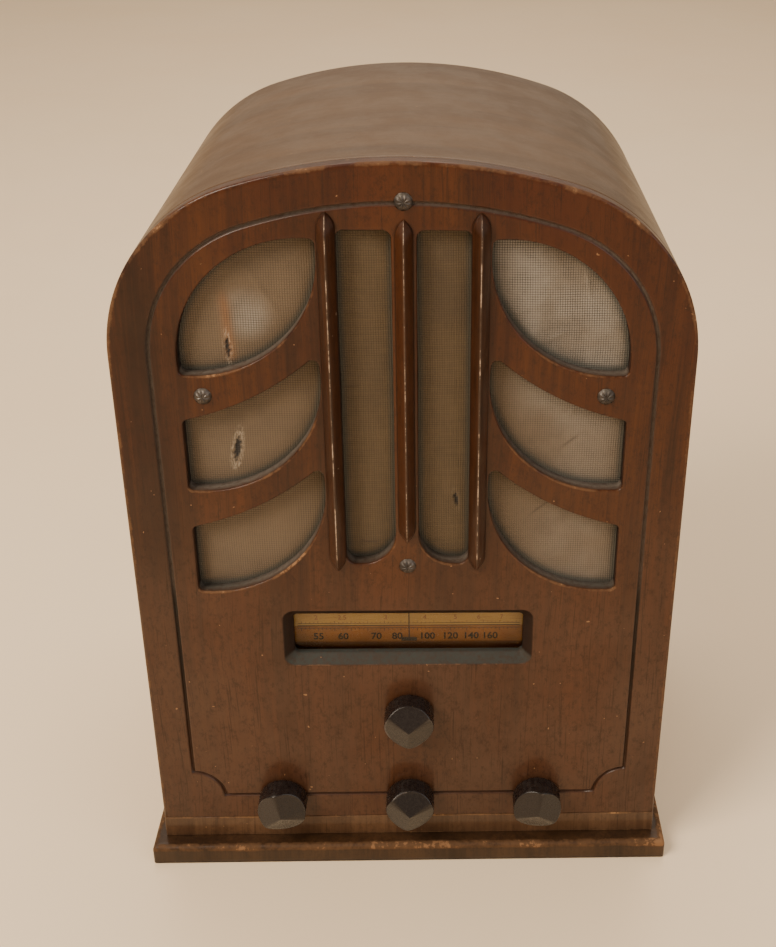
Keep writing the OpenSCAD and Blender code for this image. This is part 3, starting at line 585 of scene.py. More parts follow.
FINISH = {
    # The front veneer's haze colour is a painted reflection of the floor on the panel's lower part.
    "front_veneer": wood(
        "front_walnut_veneer", (0.018, 0.0042, 0.0010, 1), (0.074, 0.0205, 0.0042, 1),
        (0.076, 0.036, 0.020, 1), (0.16, 0.085, 0.042, 1), red_top=(0.050, 0.009, 0.003, 1),
        roughness=0.38, coat=0.32, amount=0.62, crazed=0.6,
    ),
    "rib_veneer": wood(
        "rib_walnut", (0.012, 0.0035, 0.001, 1), (0.055, 0.018, 0.006, 1),
        (0.05, 0.022, 0.01, 1), (0.11, 0.08, 0.06, 1), roughness=0.38, coat=0.35, amount=0.80,
        chip=(0.42, 0.31, 0.23, 1),
    ),
    # A lighter copy of the front veneer: the rail's paler colour is a painted reflection of the floor.
    "rail_veneer_reflection": wood(
        "rail_walnut_painted_reflection", (0.050, 0.024, 0.0120, 1), (0.115, 0.060, 0.030, 1),
        (0.12, 0.072, 0.043, 1), (0.20, 0.11, 0.05, 1), roughness=0.38, coat=0.4, amount=0.6,
    ),
    "wrap_veneer": wood(
        "wrap_veneer", (0.056, 0.027, 0.0105, 1), (0.105, 0.056, 0.025, 1),
        (0.112, 0.064, 0.032, 1), (0.17, 0.10, 0.05, 1), amount=0.35, on_uv=True, coat=0.25, crazed=0.15,
    ),
    "base_wood": wood(
        "base_moulding_wood", (0.020, 0.009, 0.0040, 1), (0.060, 0.028, 0.0115, 1),
        (0.055, 0.033, 0.018, 1), (0.13, 0.066, 0.030, 1), amount=0.78, coat=0.3,
    ),
    "bare_wood": wood(
        "bare_pine", (0.26, 0.15, 0.07, 1), (0.42, 0.27, 0.13, 1), (0.25, 0.17, 0.10, 1),
        (0.5, 0.36, 0.2, 1), roughness=0.75, coat=0.0, crazed=0.15,
    ),
    "speaker_board_wood": wood(
        "bare_plywood", (0.18, 0.10, 0.045, 1), (0.32, 0.20, 0.10, 1), (0.2, 0.14, 0.09, 1),
        (0.4, 0.3, 0.2, 1), roughness=0.78, coat=0.0, crazed=0.15,
    ),
    "cloth": grille_cloth_material(),
    "bolt_bronze": metal("tarnished_bolt", (0.09, 0.075, 0.066, 1), (0.02, 0.017, 0.015, 1), 0.40, 0.6),
    "plain_steel": metal("plated_steel", (0.42, 0.41, 0.38, 1), (0.20, 0.16, 0.12, 1), 0.4),
    "chassis_steel": metal("chassis_plating", (0.44, 0.44, 0.42, 1), (0.23, 0.20, 0.16, 1), 0.38),
    "clear_glass": glass("dial_window_glass", (0.95, 0.95, 0.92, 1), 0.0, ior=1.25),
    "tube_glass": glass("tube_bulb_glass", (0.93, 0.94, 0.93, 1), 0.03, (0.55, 0.52, 0.5, 1)),
    "lamp_glass": glass("lamp_bulb_glass", (0.98, 0.93, 0.8, 1), 0.03),
    "scale_celluloid": scale_material(),
    "cord_linen": paper("linen_cord", (0.42, 0.33, 0.18, 1), (0.55, 0.45, 0.27, 1)),
    "iron_laminations": metal("lacquered_iron", (0.05, 0.05, 0.055, 1), (0.10, 0.06, 0.04, 1), 0.5, 0.6),
    "black_paint": metal("black_enamel", (0.022, 0.022, 0.025, 1), (0.05, 0.045, 0.04, 1), 0.35, 0.0),
    "bare_aluminium": metal("dull_aluminium", (0.58, 0.59, 0.58, 1), (0.38, 0.37, 0.34, 1), 0.42),
    "pointer_paint": moulded("pointer_enamel", (0.018, 0.010, 0.006, 1), (0.1, 0.08, 0.06, 1), 0.5),
    "scale_ink": moulded("scale_ink", (0.005, 0.0025, 0.0015, 1), (0.02, 0.01, 0.006, 1), 0.7, 0.0, 0.0),
    "faint_print": moulded("faded_ink", (0.20, 0.09, 0.03, 1), (0.3, 0.18, 0.08, 1), 0.6),
    "brass": metal("dull_brass", (0.50, 0.36, 0.15, 1), (0.22, 0.15, 0.08, 1), 0.38),
    "knob_bakelite": moulded(
        "knob_bakelite", (0.006, 0.0035, 0.0035, 1), (0.12, 0.10, 0.09, 1), 0.24, 0.5, 0.0
    ),
    "brown_bakelite": moulded("socket_bakelite", (0.06, 0.028, 0.016, 1), (0.15, 0.1, 0.07, 1), 0.3),
    "control_fibre": moulded("fibre_board", (0.20, 0.12, 0.06, 1), (0.3, 0.2, 0.12, 1), 0.6),
    "black_rubber": moulded("old_rubber", (0.02, 0.019, 0.018, 1), (0.08, 0.08, 0.08, 1), 0.7, grit=0.9),
    "basket_paint": metal("basket_crackle", (0.11, 0.12, 0.12, 1), (0.06, 0.06, 0.06, 1), 0.55, 0.2),
    "pot_paint": metal("pot_enamel", (0.065, 0.07, 0.075, 1), (0.05, 0.045, 0.04, 1), 0.4, 0.2),
    "cone_paper": paper("cone_paper", (0.055, 0.045, 0.036, 1), (0.10, 0.08, 0.065, 1)),
    "coil_copper": metal("coil_copper", (0.60, 0.27, 0.12, 1), (0.3, 0.12, 0.06, 1), 0.35),
}
SLOT_OF = {part["node"]: part["material_slot"] for part in frame["record"]["subparts"]}
for node_name, cad in frame["nodes"].items():
    cad.data.materials.clear()
    cad.data.materials.append(FINISH[SLOT_OF[node_name]])


# ---- Mesh building ----


class Shell:
    """Grids and flat fills gathered into one welded mesh.

    Each point carries an edge value, 1 where the finish rubs off, a recess value, 1 where shade is
    painted into a hollow, and a grime value, 1 where dust lies thick or a painted sheen is laid on a
    ledge. UVs are in metres; where none are given, they are the point's x and z."""

    def __init__(self):
        self.points, self.faces, self.flat, self.uv = [], [], [], []
        self.values = {"edge": [], "recess": [], "grime": []}
        self.count = 0

    def add(self, points, faces, flat, uv=None, **values):
        """Points and the faces between them, shaded flat or smooth."""
        points = np.asarray(points, float).reshape(-1, 3)
        self.points.append(points)
        self.faces += (np.asarray(faces) + self.count).tolist()
        self.flat += [flat] * len(faces)
        self.uv.append(points[:, [0, 2]] * MM if uv is None else np.reshape(uv, (-1, 2)))
        for name in set(self.values) | set(values):
            before = self.values.setdefault(name, [np.zeros(self.count)] if self.count else [])
            before.append(np.broadcast_to(values.get(name, 0.0), len(points)).astype(float))
        self.count += len(points)

    def grid(self, points, close=False, **values):
        """A grid of points, rows by columns; close joins the last column to the first."""
        rows, columns = points.shape[:2]
        index = np.arange(rows * columns).reshape(rows, columns)
        if close:
            index = np.hstack([index, index[:, :1]])
        faces = np.stack([index[:-1, :-1], index[1:, :-1], index[1:, 1:], index[:-1, 1:]], -1)
        spread = {
            name: np.broadcast_to(
                value[:, None] if np.ndim(value) == 1 else value, (rows, columns)
            ).ravel()
            for name, value in values.items()
            if name != "uv"
        }
        self.add(points, faces.reshape(-1, 4), False, values.get("uv"), **spread)

    def fill(self, outer, holes, lift):
        """A flat face inside an outline and outside its holes; lift puts 2-D points in space."""
        loops = [np.asarray(loop, float) for loop in [outer, *holes]]
        points = np.vstack(loops)
        starts = np.cumsum([0] + [len(loop) for loop in loops])
        edges = [
            (start + i, start + (i + 1) % len(loop))
            for start, loop in zip(starts, loops)
            for i in range(len(loop))
        ]
        found = delaunay_2d_cdt([Vector(p) for p in points], edges, [], 1, 1e-6)
        flat = np.array([v[:] for v in found[0]])
        faces = np.array(found[2])
        middle = flat[faces].mean(1)
        keep = inside(middle, loops[0])
        for hole in loops[1:]:
            keep &= ~inside(middle, hole)
        self.add(lift(flat), faces[keep], True)

    def build(self, name, slot, body, stands_for=()):
        """The welded mesh as a piece that rides on a body and stands for CAD nodes."""
        mesh = bpy.data.meshes.new(name)
        mesh.from_pydata(place(np.vstack(self.points)).tolist(), [], self.faces)
        corners = np.zeros(len(mesh.loops), int)
        mesh.loops.foreach_get("vertex_index", corners)
        layer = mesh.uv_layers.new(name="UVMap")
        layer.data.foreach_set("uv", np.vstack(self.uv)[corners].ravel())
        for key, parts in self.values.items():
            values = np.concatenate(parts).astype(np.float32)
            mesh.attributes.new(key, "FLOAT", "POINT").data.foreach_set("value", values)
        mesh.polygons.foreach_set("use_smooth", ~np.array(self.flat))
        work = bmesh.new()
        work.from_mesh(mesh)
        bmesh.ops.remove_doubles(work, verts=work.verts, dist=2e-6)
        bmesh.ops.recalc_face_normals(work, faces=work.faces)
        work.to_mesh(mesh)
        work.free()
        return piece(name, mesh, slot, body, stands_for)


def piece(name, mesh, slot, body, stands_for=()):
    """A finished mesh as a named piece with its slot's material."""
    made = in_scene(name, mesh)
    mesh.materials.append(FINISH[slot])
    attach(made, body)
    if stands_for:
        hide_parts(*stands_for)
    return made


def inside(points, loop):
    """Which points lie inside a closed outline, by counting crossings to the right."""
    x, y = points[:, :1], points[:, 1:]
    a, b = loop, np.roll(loop, -1, 0)
    spans = (a[:, 1] > y) != (b[:, 1] > y)
    rise = np.where(b[:, 1] == a[:, 1], 1.0, b[:, 1] - a[:, 1])
    at = a[:, 0] + (y - a[:, 1]) * (b[:, 0] - a[:, 0]) / rise
    return (spans & (x < at)).sum(1) % 2 == 1


def distance(points, loop):
    """Distance from each point to a closed outline."""
    a, b = loop, np.roll(loop, -1, 0)
    along = b - a
    length = np.maximum((along**2).sum(1), 1e-12)
    best = np.full(len(points), 1e9)
    for start, step, size in zip(a, along, length):
        t = np.clip(((points - start) @ step) / size, 0, 1)
        best = np.minimum(best, np.linalg.norm(points - start - t[:, None] * step, axis=1))
    return best


def smooth_step(value, low, high):
    """0 below low, 1 above high and a smooth rise between them."""
    t = np.clip((value - low) / (high - low), 0, 1)
    return t * t * (3 - 2 * t)


# ---- Outlines in x and z; each takes how far it is moved into the wood ----


def arc(center, radius, start, end, count=16):
    """Points on a circle from one angle to another, in degrees."""
    a = np.radians(np.linspace(start, end, count))
    return np.stack([center[0] + radius * np.cos(a), center[1] + radius * np.sin(a)], 1)


def run(a, b, count):
    """Evenly spaced points from a to b, without b."""
    return np.linspace(a, b, count, endpoint=False)


def arch_top(inset):
    """The arch from its right spring over the crown to its left spring, as three arcs."""
    right = arc((SHOULDER_X, SPRING_Z), SHOULDER_R - inset, 0, CROWN_ANGLE, 26)
    crown = arc((0, CROWN_Z), CROWN_R - inset, CROWN_ANGLE, 180 - CROWN_ANGLE, 31)
    left = arc((-SHOULDER_X, SPRING_Z), SHOULDER_R - inset, 180 - CROWN_ANGLE, 180, 26)
    return np.vstack([right[:-1], crown[:-1], left])


def arch_outline(inset, foot):
    """The arch with straight sides down to its foot."""
    x = HALF_W - inset
    return np.vstack(
        [run((-x, foot), (x, foot), 24), run((x, foot), (x, SPRING_Z), 24), arch_top(inset)[:-1],
         run((-x, SPRING_Z), (-x, foot), 24)]
    )


def groove_outline(inset):
    """The routed line moved inwards: an arch with quarter rounds cut into its foot."""
    top = arch_top(GROOVE_INSET + inset)
    x, foot, r = HALF_W - GROOVE_INSET, GROOVE_FOOT + inset, NOTCH_R + inset
    lean = math.degrees(math.asin(inset / r))
    right = arc((x, GROOVE_FOOT), r, 180 - lean, 90 + lean, 12)
    left = arc((-x, GROOVE_FOOT), r, 90 - lean, lean, 12)
    return np.vstack(
        [run(left[-1], right[0], 24), right[:-1], run(right[-1], top[0], 20), top[:-1],
         run(top[-1], left[0], 20), left[:-1]]
    )


def crossing(a, ra, b, rb):
    """Where two circles cross, on the left of the line from a to b."""
    d = np.linalg.norm(b - a)
    u = (b - a) / d
    along = (ra * ra - rb * rb + d * d) / (2 * d)
    return a + along * u + math.sqrt(ra * ra - along * along) * np.array([-u[1], u[0]])


def angle_of(v):
    """A 2-D vector's angle, in degrees."""
    return math.degrees(math.atan2(v[1], v[0]))


def joined(*arcs):
    """Arcs that follow each other, each without its last point."""
    return np.vstack([a[:-1] for a in arcs])


def crown_leaf(grow):
    """The top leaf: two equal arcs that meet at rounded tips."""
    low = np.array([LEAF_AXIS, TOP_LEAF_Z])
    inner = crossing(CROWN_LEAF, LEAF_R - TIP_R, low, LEAF_R - TIP_R)
    outer = crossing(low, LEAF_R - TIP_R, CROWN_LEAF, LEAF_R - TIP_R)
    r, tip = LEAF_R + grow, TIP_R + grow
    return joined(
        arc(CROWN_LEAF, r, angle_of(outer - CROWN_LEAF), angle_of(inner - CROWN_LEAF), 26),
        arc(inner, tip, angle_of(inner - CROWN_LEAF), angle_of(inner - low), 9),
        arc(low, r, angle_of(inner - low), angle_of(outer - low) + 360, 26),
        arc(outer, tip, angle_of(outer - low), angle_of(outer - CROWN_LEAF), 9),
    )


def lower_leaf(z, grow):
    """A lower leaf: a round lower edge, a flatter upper edge and a straight outer end."""
    low = np.array([LEAF_AXIS, z])
    back = low + LEAF_BACK_SHIFT
    back_r = LEAF_BACK_R + TIP_R
    inner = crossing(low, LEAF_R - TIP_R, back, back_r)
    end_x = LEAF_OUT - TIP_R
    head = np.array([end_x, back[1] - math.sqrt(back_r**2 - (end_x - back[0]) ** 2)])
    foot = np.array([end_x, z - math.sqrt((LEAF_R - TIP_R) ** 2 - (end_x - low[0]) ** 2)])
    r, tip = LEAF_R + grow, TIP_R + grow
    return joined(
        arc(low, r, angle_of(inner - low), angle_of(foot - low) + 360, 26),
        arc(foot, tip, angle_of(foot - low), 0, 9),
        run((foot[0] + tip, foot[1]), (head[0] + tip, head[1]), 10),
        arc(head, tip, 0, angle_of(back - head), 9),
        arc(back, LEAF_BACK_R - grow, angle_of(head - back), angle_of(inner - back), 20),
        arc(inner, tip, angle_of(back - inner), angle_of(inner - low), 9),
    )


def slot_outline(grow):
    """A long slot: square head, a tight outer corner and a broad inner corner below."""
    head, tight, broad = 4.0, 6.0, 18.0
    return joined(
        arc((SLOT_OUT - head, SLOT_HEAD - head), head + grow, 0, 90, 9),
        arc((SLOT_IN + head, SLOT_HEAD - head), head + grow, 90, 180, 9),
        run((SLOT_IN - grow, SLOT_HEAD - head), (SLOT_IN - grow, SLOT_FOOT + broad), 24),
        arc((SLOT_IN + broad, SLOT_FOOT + broad), broad + grow, 180, 270, 14),
        arc((SLOT_OUT - tight, SLOT_FOOT + tight), tight + grow, 270, 360, 9),
        run((SLOT_OUT + grow, SLOT_FOOT + tight), (SLOT_OUT + grow, SLOT_HEAD - head), 24),
    )


def rounded_rect(w, h, r, center=(0.0, 0.0), count=8):
    """A rectangle with round corners, from the right-hand end of its foot."""
    x, y = w / 2 - r, h / 2 - r
    corners = ((x, -y, -90), (x, y, 0), (-x, y, 90), (-x, -y, 180))
    loop = [arc((center[0] + cx, center[1] + cy), r, a, a + 90, count) for cx, cy, a in corners]
    return np.vstack(loop)


def round_hole(x, z, r):
    """A round hole's outline about a point."""
    return lambda grow: arc((x, z), r + grow, 0, 360, 33)[:-1]


def mirrored(outline):
    """An outline turned over to the left side."""
    return lambda grow: outline(grow) * np.array([-1.0, 1.0])


RIGHT_OPENINGS = {
    "top": crown_leaf,
    "middle": lambda grow: lower_leaf(MID_LEAF_Z, grow),
    "low": lambda grow: lower_leaf(LOW_LEAF_Z, grow),
    "slot": slot_outline,
}
OPENINGS = {
    **{"right_" + name: outline for name, outline in RIGHT_OPENINGS.items()},
    **{"left_" + name: mirrored(outline) for name, outline in RIGHT_OPENINGS.items()},
}
BOLT_PLACES = [
    (BOLT_PCD / 2 * math.cos(a), SPEAKER_Z + BOLT_PCD / 2 * math.sin(a))
    for a in np.radians([0, 90, 180, 270])
]


# ---- Cabinet ----


def soft_wall(soft, margin, depth, recess=0.0):
    """A flat margin, a quarter round, a wall and a softened far edge.

    Rows of inset, depth, edge and recess, a painted shade, from the face to the back."""
    a = np.radians(np.linspace(0, 90, 6))
    rows = [(soft + margin, 0.0, 0.0, 0.0)]
    rows += [(soft * (1 - math.sin(t)), soft * (1 - math.cos(t)), 1.0, 0.0) for t in a]
    rows += [(0, soft + margin * 0.6, 0.15, 0.4 * recess), (0, depth * 0.55, 0.0, recess)]
    rows += [(0, depth - 0.3, 0.0, recess), (0.3, depth, 0.0, recess)]
    return np.array(rows)


def walls(shell, outline, rows, lift, hole=False, film=0.0):
    """An outline carried along rows of inset and depth.

    In a hole, wear and the grime value gather on the walls that look up: dust lies on those ledges, and
    on the openings, high on the panel, its pale colour is also a painted sheen. A film, as in the routed
    groove, is dust and a painted sheen; it and the painted recess shade fade towards the foot of the
    panel."""
    grid = np.stack([lift(outline(inset), depth) for inset, depth, _, _ in rows])
    edge = np.broadcast_to(rows[:, 2:3], grid.shape[:2])
    recess = np.broadcast_to(rows[:, 3:4], grid.shape[:2])
    height = smooth_step(grid[..., 2], 60, 190)
    grime = film * recess * height
    if film:
        recess = recess * (0.35 + 0.45 * height)
    if hole:
        away = grid[0] - grid[0].mean(0)
        step = np.roll(grid[0], -1, 0) - np.roll(grid[0], 1, 0)
        side = np.stack([step[:, 2], 0 * step[:, 0], -step[:, 0]], 1)
        side /= np.maximum(np.linalg.norm(side, axis=1), 1e-9)[:, None]
        side *= np.sign((side * away).sum(1))[:, None]
        looks_up = smooth_step(-side[:, 2], -0.1, 0.6)
        edge = edge * (0.12 + 0.88 * looks_up)
        grime = recess * looks_up
    shell.grid(grid, close=True, edge=edge, recess=recess * (1 - 0.6 * (grime > 0.5)), grime=grime)


def upright(loop, depth):
    """2-D points in x and z, at a depth behind the panel's face."""
    return np.stack([loop[:, 0], np.full(len(loop), float(depth)), loop[:, 1]], 1)


def level(loop, height):
    """2-D points in x and y, at a height above the table."""
    return np.stack([loop[:, 0], loop[:, 1], np.full(len(loop), float(height))], 1)


def pierced_front():
    """The front panel: soft outer edge, eight openings, routed line and bevelled dial window.

    Every edge is an outline moved into the wood by a quarter-round profile. The routed line
    is a cove, deepest at its middle. The dial's bevel runs from the window to a wider
    rounded rectangle in the face."""
    shell = Shell()
    soft, margin, hole_soft, hole_margin = 1.3, 1.6, 0.8, 0.9

    def outer(inset):
        return arch_outline(inset, RAIL_TOP + 0.35 * inset)

    rows = soft_wall(soft, margin, PANEL_T)
    walls(shell, outer, rows, upright)
    share = np.linspace(0, 1, 9)
    cove = np.stack(
        [GROOVE_W * share, GROOVE_DEPTH * np.sin(math.pi * share) ** 0.7, 0 * share, 0 * share], 1
    )
    cove[:, 2] = np.where((share == 0) | (share == 1), 0.45, 0.1)
    # Painted shade in the cove, darkest at its middle.
    cove[:, 3] = np.sin(math.pi * share) ** 0.5
    lip_near = np.array([(-0.7, 0, 0, 0), (0, 0, 0.45, 0.1)])
    lip_far = np.array([(GROOVE_W, 0, 0.45, 0.1), (GROOVE_W + 0.7, 0, 0, 0)])
    # The groove's film is dust and a painted sheen.
    for strip in (lip_near, cove, lip_far):
        walls(shell, groove_outline, strip, upright, film=0.75)

    holes = list(OPENINGS.values())
    # Painted shade on the walls of the openings and of the small holes.
    hole_rows = soft_wall(hole_soft, hole_margin, PANEL_T, recess=1.0)
    for outline in holes:
        walls(shell, outline, hole_rows, upright, hole=True)
    small = [round_hole(x, z, BOLT_HOLE_R) for x, z in BOLT_PLACES]
    small.append(round_hole(0, TUNING_Z, 6.0))
    small_rows = soft_wall(0.3, 0.3, PANEL_T, recess=1.0)
    for outline in small:
        walls(shell, outline, small_rows, upright, hole=True)

    def dial(spread):
        """The window's outline, spread from 0 at its throat to 1 at the face."""
        grow = 2 * DIAL_BEVEL * spread
        return rounded_rect(DIAL_W + grow, DIAL_H + grow, 2.5 + 3.5 * spread, (0, DIAL_Z))

    # Rows of spread, depth, edge and painted recess shade for the dial's bevel.
    bevel = np.array(
        [(1.22, 0, 0, 0), (1.1, 0, 0.5, 0), (1.03, 0.12, 0.8, 0.2), (0.97, 0.4, 0.6, 0.6),
         (0.9, 0.65, 0.2, 0.9), (0.1, DIAL_BEVEL - 0.6, 0.1, 0.9), (0.02, DIAL_BEVEL - 0.1, 0.4, 0.8),
         (0, DIAL_BEVEL + 0.3, 0.2, 1), (0, PANEL_T - 0.3, 0, 1), (0.03, PANEL_T, 0, 1)]
    )
    walls(shell, dial, bevel, upright, hole=True)

    shell.fill(outer(soft + margin), [groove_outline(-0.7)], lambda loop: upright(loop, 0))
    shell.fill(
        groove_outline(GROOVE_W + 0.7),
        [outline(hole_soft + hole_margin) for outline in holes]
        + [outline(0.6) for outline in small] + [dial(1.22)],
        lambda loop: upright(loop, 0),
    )
    shell.fill(
        outer(0.3),
        [outline(0.3) for outline in holes + small] + [dial(0.03)],
        lambda loop: upright(loop, PANEL_T),
    )
    shell.build("pierced_front", "front_veneer", "cabinet", ["front_panel"])


def rail_moulding():
    """The rail under the front panel: a bar with softened edges."""
    shell = Shell()
    low, high = extent("front_rail")
    center = (0, (low[2] + high[2]) / 2)

    def outline(inset):
        return rounded_rect(high[0] - low[0] - 2 * inset, high[2] - low[2] - 2 * inset,
                            max(0.6 - inset, 0.02), center)

    rows = soft_wall(0.5, 0.8, PANEL_T)
    walls(shell, outline, rows, upright)
    shell.fill(outline(1.3), [], lambda loop: upright(loop, 0))
    shell.fill(outline(0.3), [], lambda loop: upright(loop, PANEL_T))
    rail = shell.build("rail_moulding", "front_veneer", "cabinet", ["front_rail"])
    # The rail takes the lighter veneer, a painted reflection of the floor.
    rail.data.materials[0] = FINISH["rail_veneer_reflection"]


def bent_wrap():
    """The wrap: a soft-edged strip section carried up one side, over the arch and down."""
    shell = Shell()
    section = np.array(
        [(0.5, PANEL_T, 0.8), (0.0, PANEL_T + 0.5, 0.7), (0.0, PANEL_T + 2.5, 0.0)]
        + [(0.0, y, 0.0) for y in np.linspace(PANEL_T + 12, BODY_D - 12, 14)]
        + [(0.0, BODY_D - 3, 0.0), (0.0, BODY_D - 1.2, 0.8), (0.35, BODY_D - 0.35, 1.0),
           (1.2, BODY_D, 0.8), (2.5, BODY_D, 0.1), (WRAP_T - 0.6, BODY_D, 0.5),
           (WRAP_T, BODY_D - 0.6, 0.5), (WRAP_T, BODY_D - 3, 0.0), (WRAP_T, PANEL_T, 0.0)]
    )

    def side(inset):
        x = HALF_W - inset
        return np.vstack([run((x, BASE_TOP), (x, SPRING_Z), 30), arch_top(inset)[:-1],
                          run((-x, SPRING_Z), (-x, BASE_TOP), 30), [(-x, BASE_TOP)]])

    path = side(0.0)
    length = np.concatenate([[0], np.cumsum(np.linalg.norm(np.diff(path, axis=0), axis=1))])
    rows = np.stack([upright(side(inset), y) for inset, y, _ in section])
    uv = np.stack([np.broadcast_to(section[:, 1:2], rows.shape[:2]),
                   np.broadcast_to(length, rows.shape[:2])], -1) * MM
    order = np.r_[np.arange(len(section)), 0]
    shell.grid(rows[order], edge=section[order, 2], uv=uv[order])
    for end in (0, -1):
        loop = rows[:, end]
        shell.add(loop, [list(range(len(loop)))], True)
    shell.build("bent_wrap", "wrap_veneer", "cabinet", ["cabinet_wrap"])


def base_moulding():
    """The base: a board with its top edge rounded, drilled for the chassis bolts.

    A rounded footprint is carried up a profile of inset and height; it is square at the
    back, flush with the cabinet."""
    shell = Shell()
    width = BASE_HIGH[0] - BASE_LOW[0]
    depth = BASE_HIGH[1] - BASE_LOW[1]
    middle = (BASE_HIGH[1] + BASE_LOW[1]) / 2
    edge = 2.5

    def outline(inset):
        loop = rounded_rect(width - 2 * inset, depth - 2 * inset, max(1.5 - inset, 0.3), (0, middle))
        back = loop[:, 1] > middle
        loop[back, 1] += inset * 0.9
        return loop

    a = np.radians(np.linspace(0, 90, 7))
    rows = [(0.5, 0.0, 0.3, 0.6), (0.0, 0.5, 0.4, 0.4), (0, 3.0, 0.0, 0), (0, 7.5, 0.1, 0)]
    rows += [(edge * (1 - math.cos(t)), BASE_TOP - edge + edge * math.sin(t), 1.0, 0) for t in a]
    rows += [(edge + 2.5, BASE_TOP, 0.0, 0.1)]
    walls(shell, outline, np.array(rows), level)
    bolts_low, bolts_high = extent("chassis_bolts")
    reach = bolts_high[0] - 5
    near, far = bolts_low[1] + 5, bolts_high[1] - 5
    places = [(x, y) for x in (-reach, reach) for y in (near, far)]
    sunk_r, sunk_top, drilled_r = 7.0, 6.0, 2.6
    profile = ((sunk_r, 0.0), (sunk_r, sunk_top), (drilled_r, sunk_top), (drilled_r, BASE_TOP))
    for p in places:
        grid = np.stack([level(arc(p, r, 0, 360, 25)[:-1], z) for r, z in profile])
        # Painted shade inside the sunk bolt holes.
        shell.grid(grid, close=True, recess=1.0)
    for z, r, inset in ((0.0, sunk_r, 0.5), (BASE_TOP, drilled_r, edge + 2.5)):
        holes = [arc(p, r, 0, 360, 25)[:-1] for p in places]
        shell.fill(outline(inset), holes, lambda loop, z=z: level(loop, z))
    shell.build("base_moulding", "base_wood", "cabinet", ["base_board"])


def rib_moulding(node_name):
    """A rib: a keel section carried up its length, narrowed to a point at each end.

    The section is a low wall and a flank that rises to a soft ridge. The height grows with
    the square root of the distance into each nose, and the width with a power of its sine."""
    shell = Shell()
    low, high = extent(node_name)
    x0, foot, head, rise = (low[0] + high[0]) / 2, low[2], high[2], -low[1]
    half = (high[0] - low[0]) / 2
    tip = (1 - np.cos(np.linspace(0, math.pi / 2, 14))) * 12.0
    z = np.concatenate([foot + tip, np.linspace(foot + 15, head - 15, 40), head - tip[::-1]])
    nose_low = np.clip((z - foot) / 10.0, 0, 1)
    nose_high = np.clip((head - z) / 8.0, 0, 1)
    width = np.minimum(
        np.sin(nose_low * math.pi / 2) ** 0.8, np.sin(nose_high * math.pi / 2) ** 0.7
    )
    height = np.minimum(
        np.clip((z - foot) / 12.0, 0, 1) ** 0.5, np.clip((head - z) / 9.0, 0, 1) ** 0.5
    )
    s = np.concatenate([[-1.0], np.linspace(-1, 1, 33), [1.0]])
    bow = np.sqrt(s**2 + 0.003)
    flank = np.clip(1 - bow, 0, 1) ** 0.85
    rise_at = 1.9 + (rise - 1.9) * flank
    rise_at = rise_at * rise / rise_at.max()
    rise_at[[0, -1]] = 0.0
    across = x0 + half * width[:, None] * s[None, :]
    out = -rise_at[None, :] * height[:, None]
    grid = np.stack([across, out, np.broadcast_to(z[:, None], across.shape)], -1)
    ridge = 1.15 * np.exp(-((s / 0.10) ** 2))
    sides = np.where(np.abs(s) > 0.97, 0.25, 0.0)
    # Painted shade along the rib's sides, where it meets the panel.
    side_shade = np.where(np.abs(s) > 0.93, 0.5, 0.0)
    shell.grid(grid, edge=np.broadcast_to(ridge + sides, grid.shape[:2]),
               recess=np.broadcast_to(side_shade, grid.shape[:2]))
    shell.add(np.vstack([grid[:, 0], grid[::-1, -1]]), [list(range(2 * len(z)))], True)
    rib = shell.build(node_name + "_moulding", "front_veneer", "cabinet", [node_name])
    rib.data.materials[0] = FINISH["rib_veneer"]


# ---- Knobs and bolts ----

FACETS = {"tuning": 90.0, "volume": 45.0, "band": 82.0, "tone": 20.0}
FLUTES = 20
PETALS = 8


def ring_about(center, radius, depth, around):
    """A closed ring about an axis along y; radius and depth may vary with the angle."""
    x, z = center[0] + radius * np.cos(around), center[1] + radius * np.sin(around)
    return np.stack([x, depth + 0 * around, z], 1)


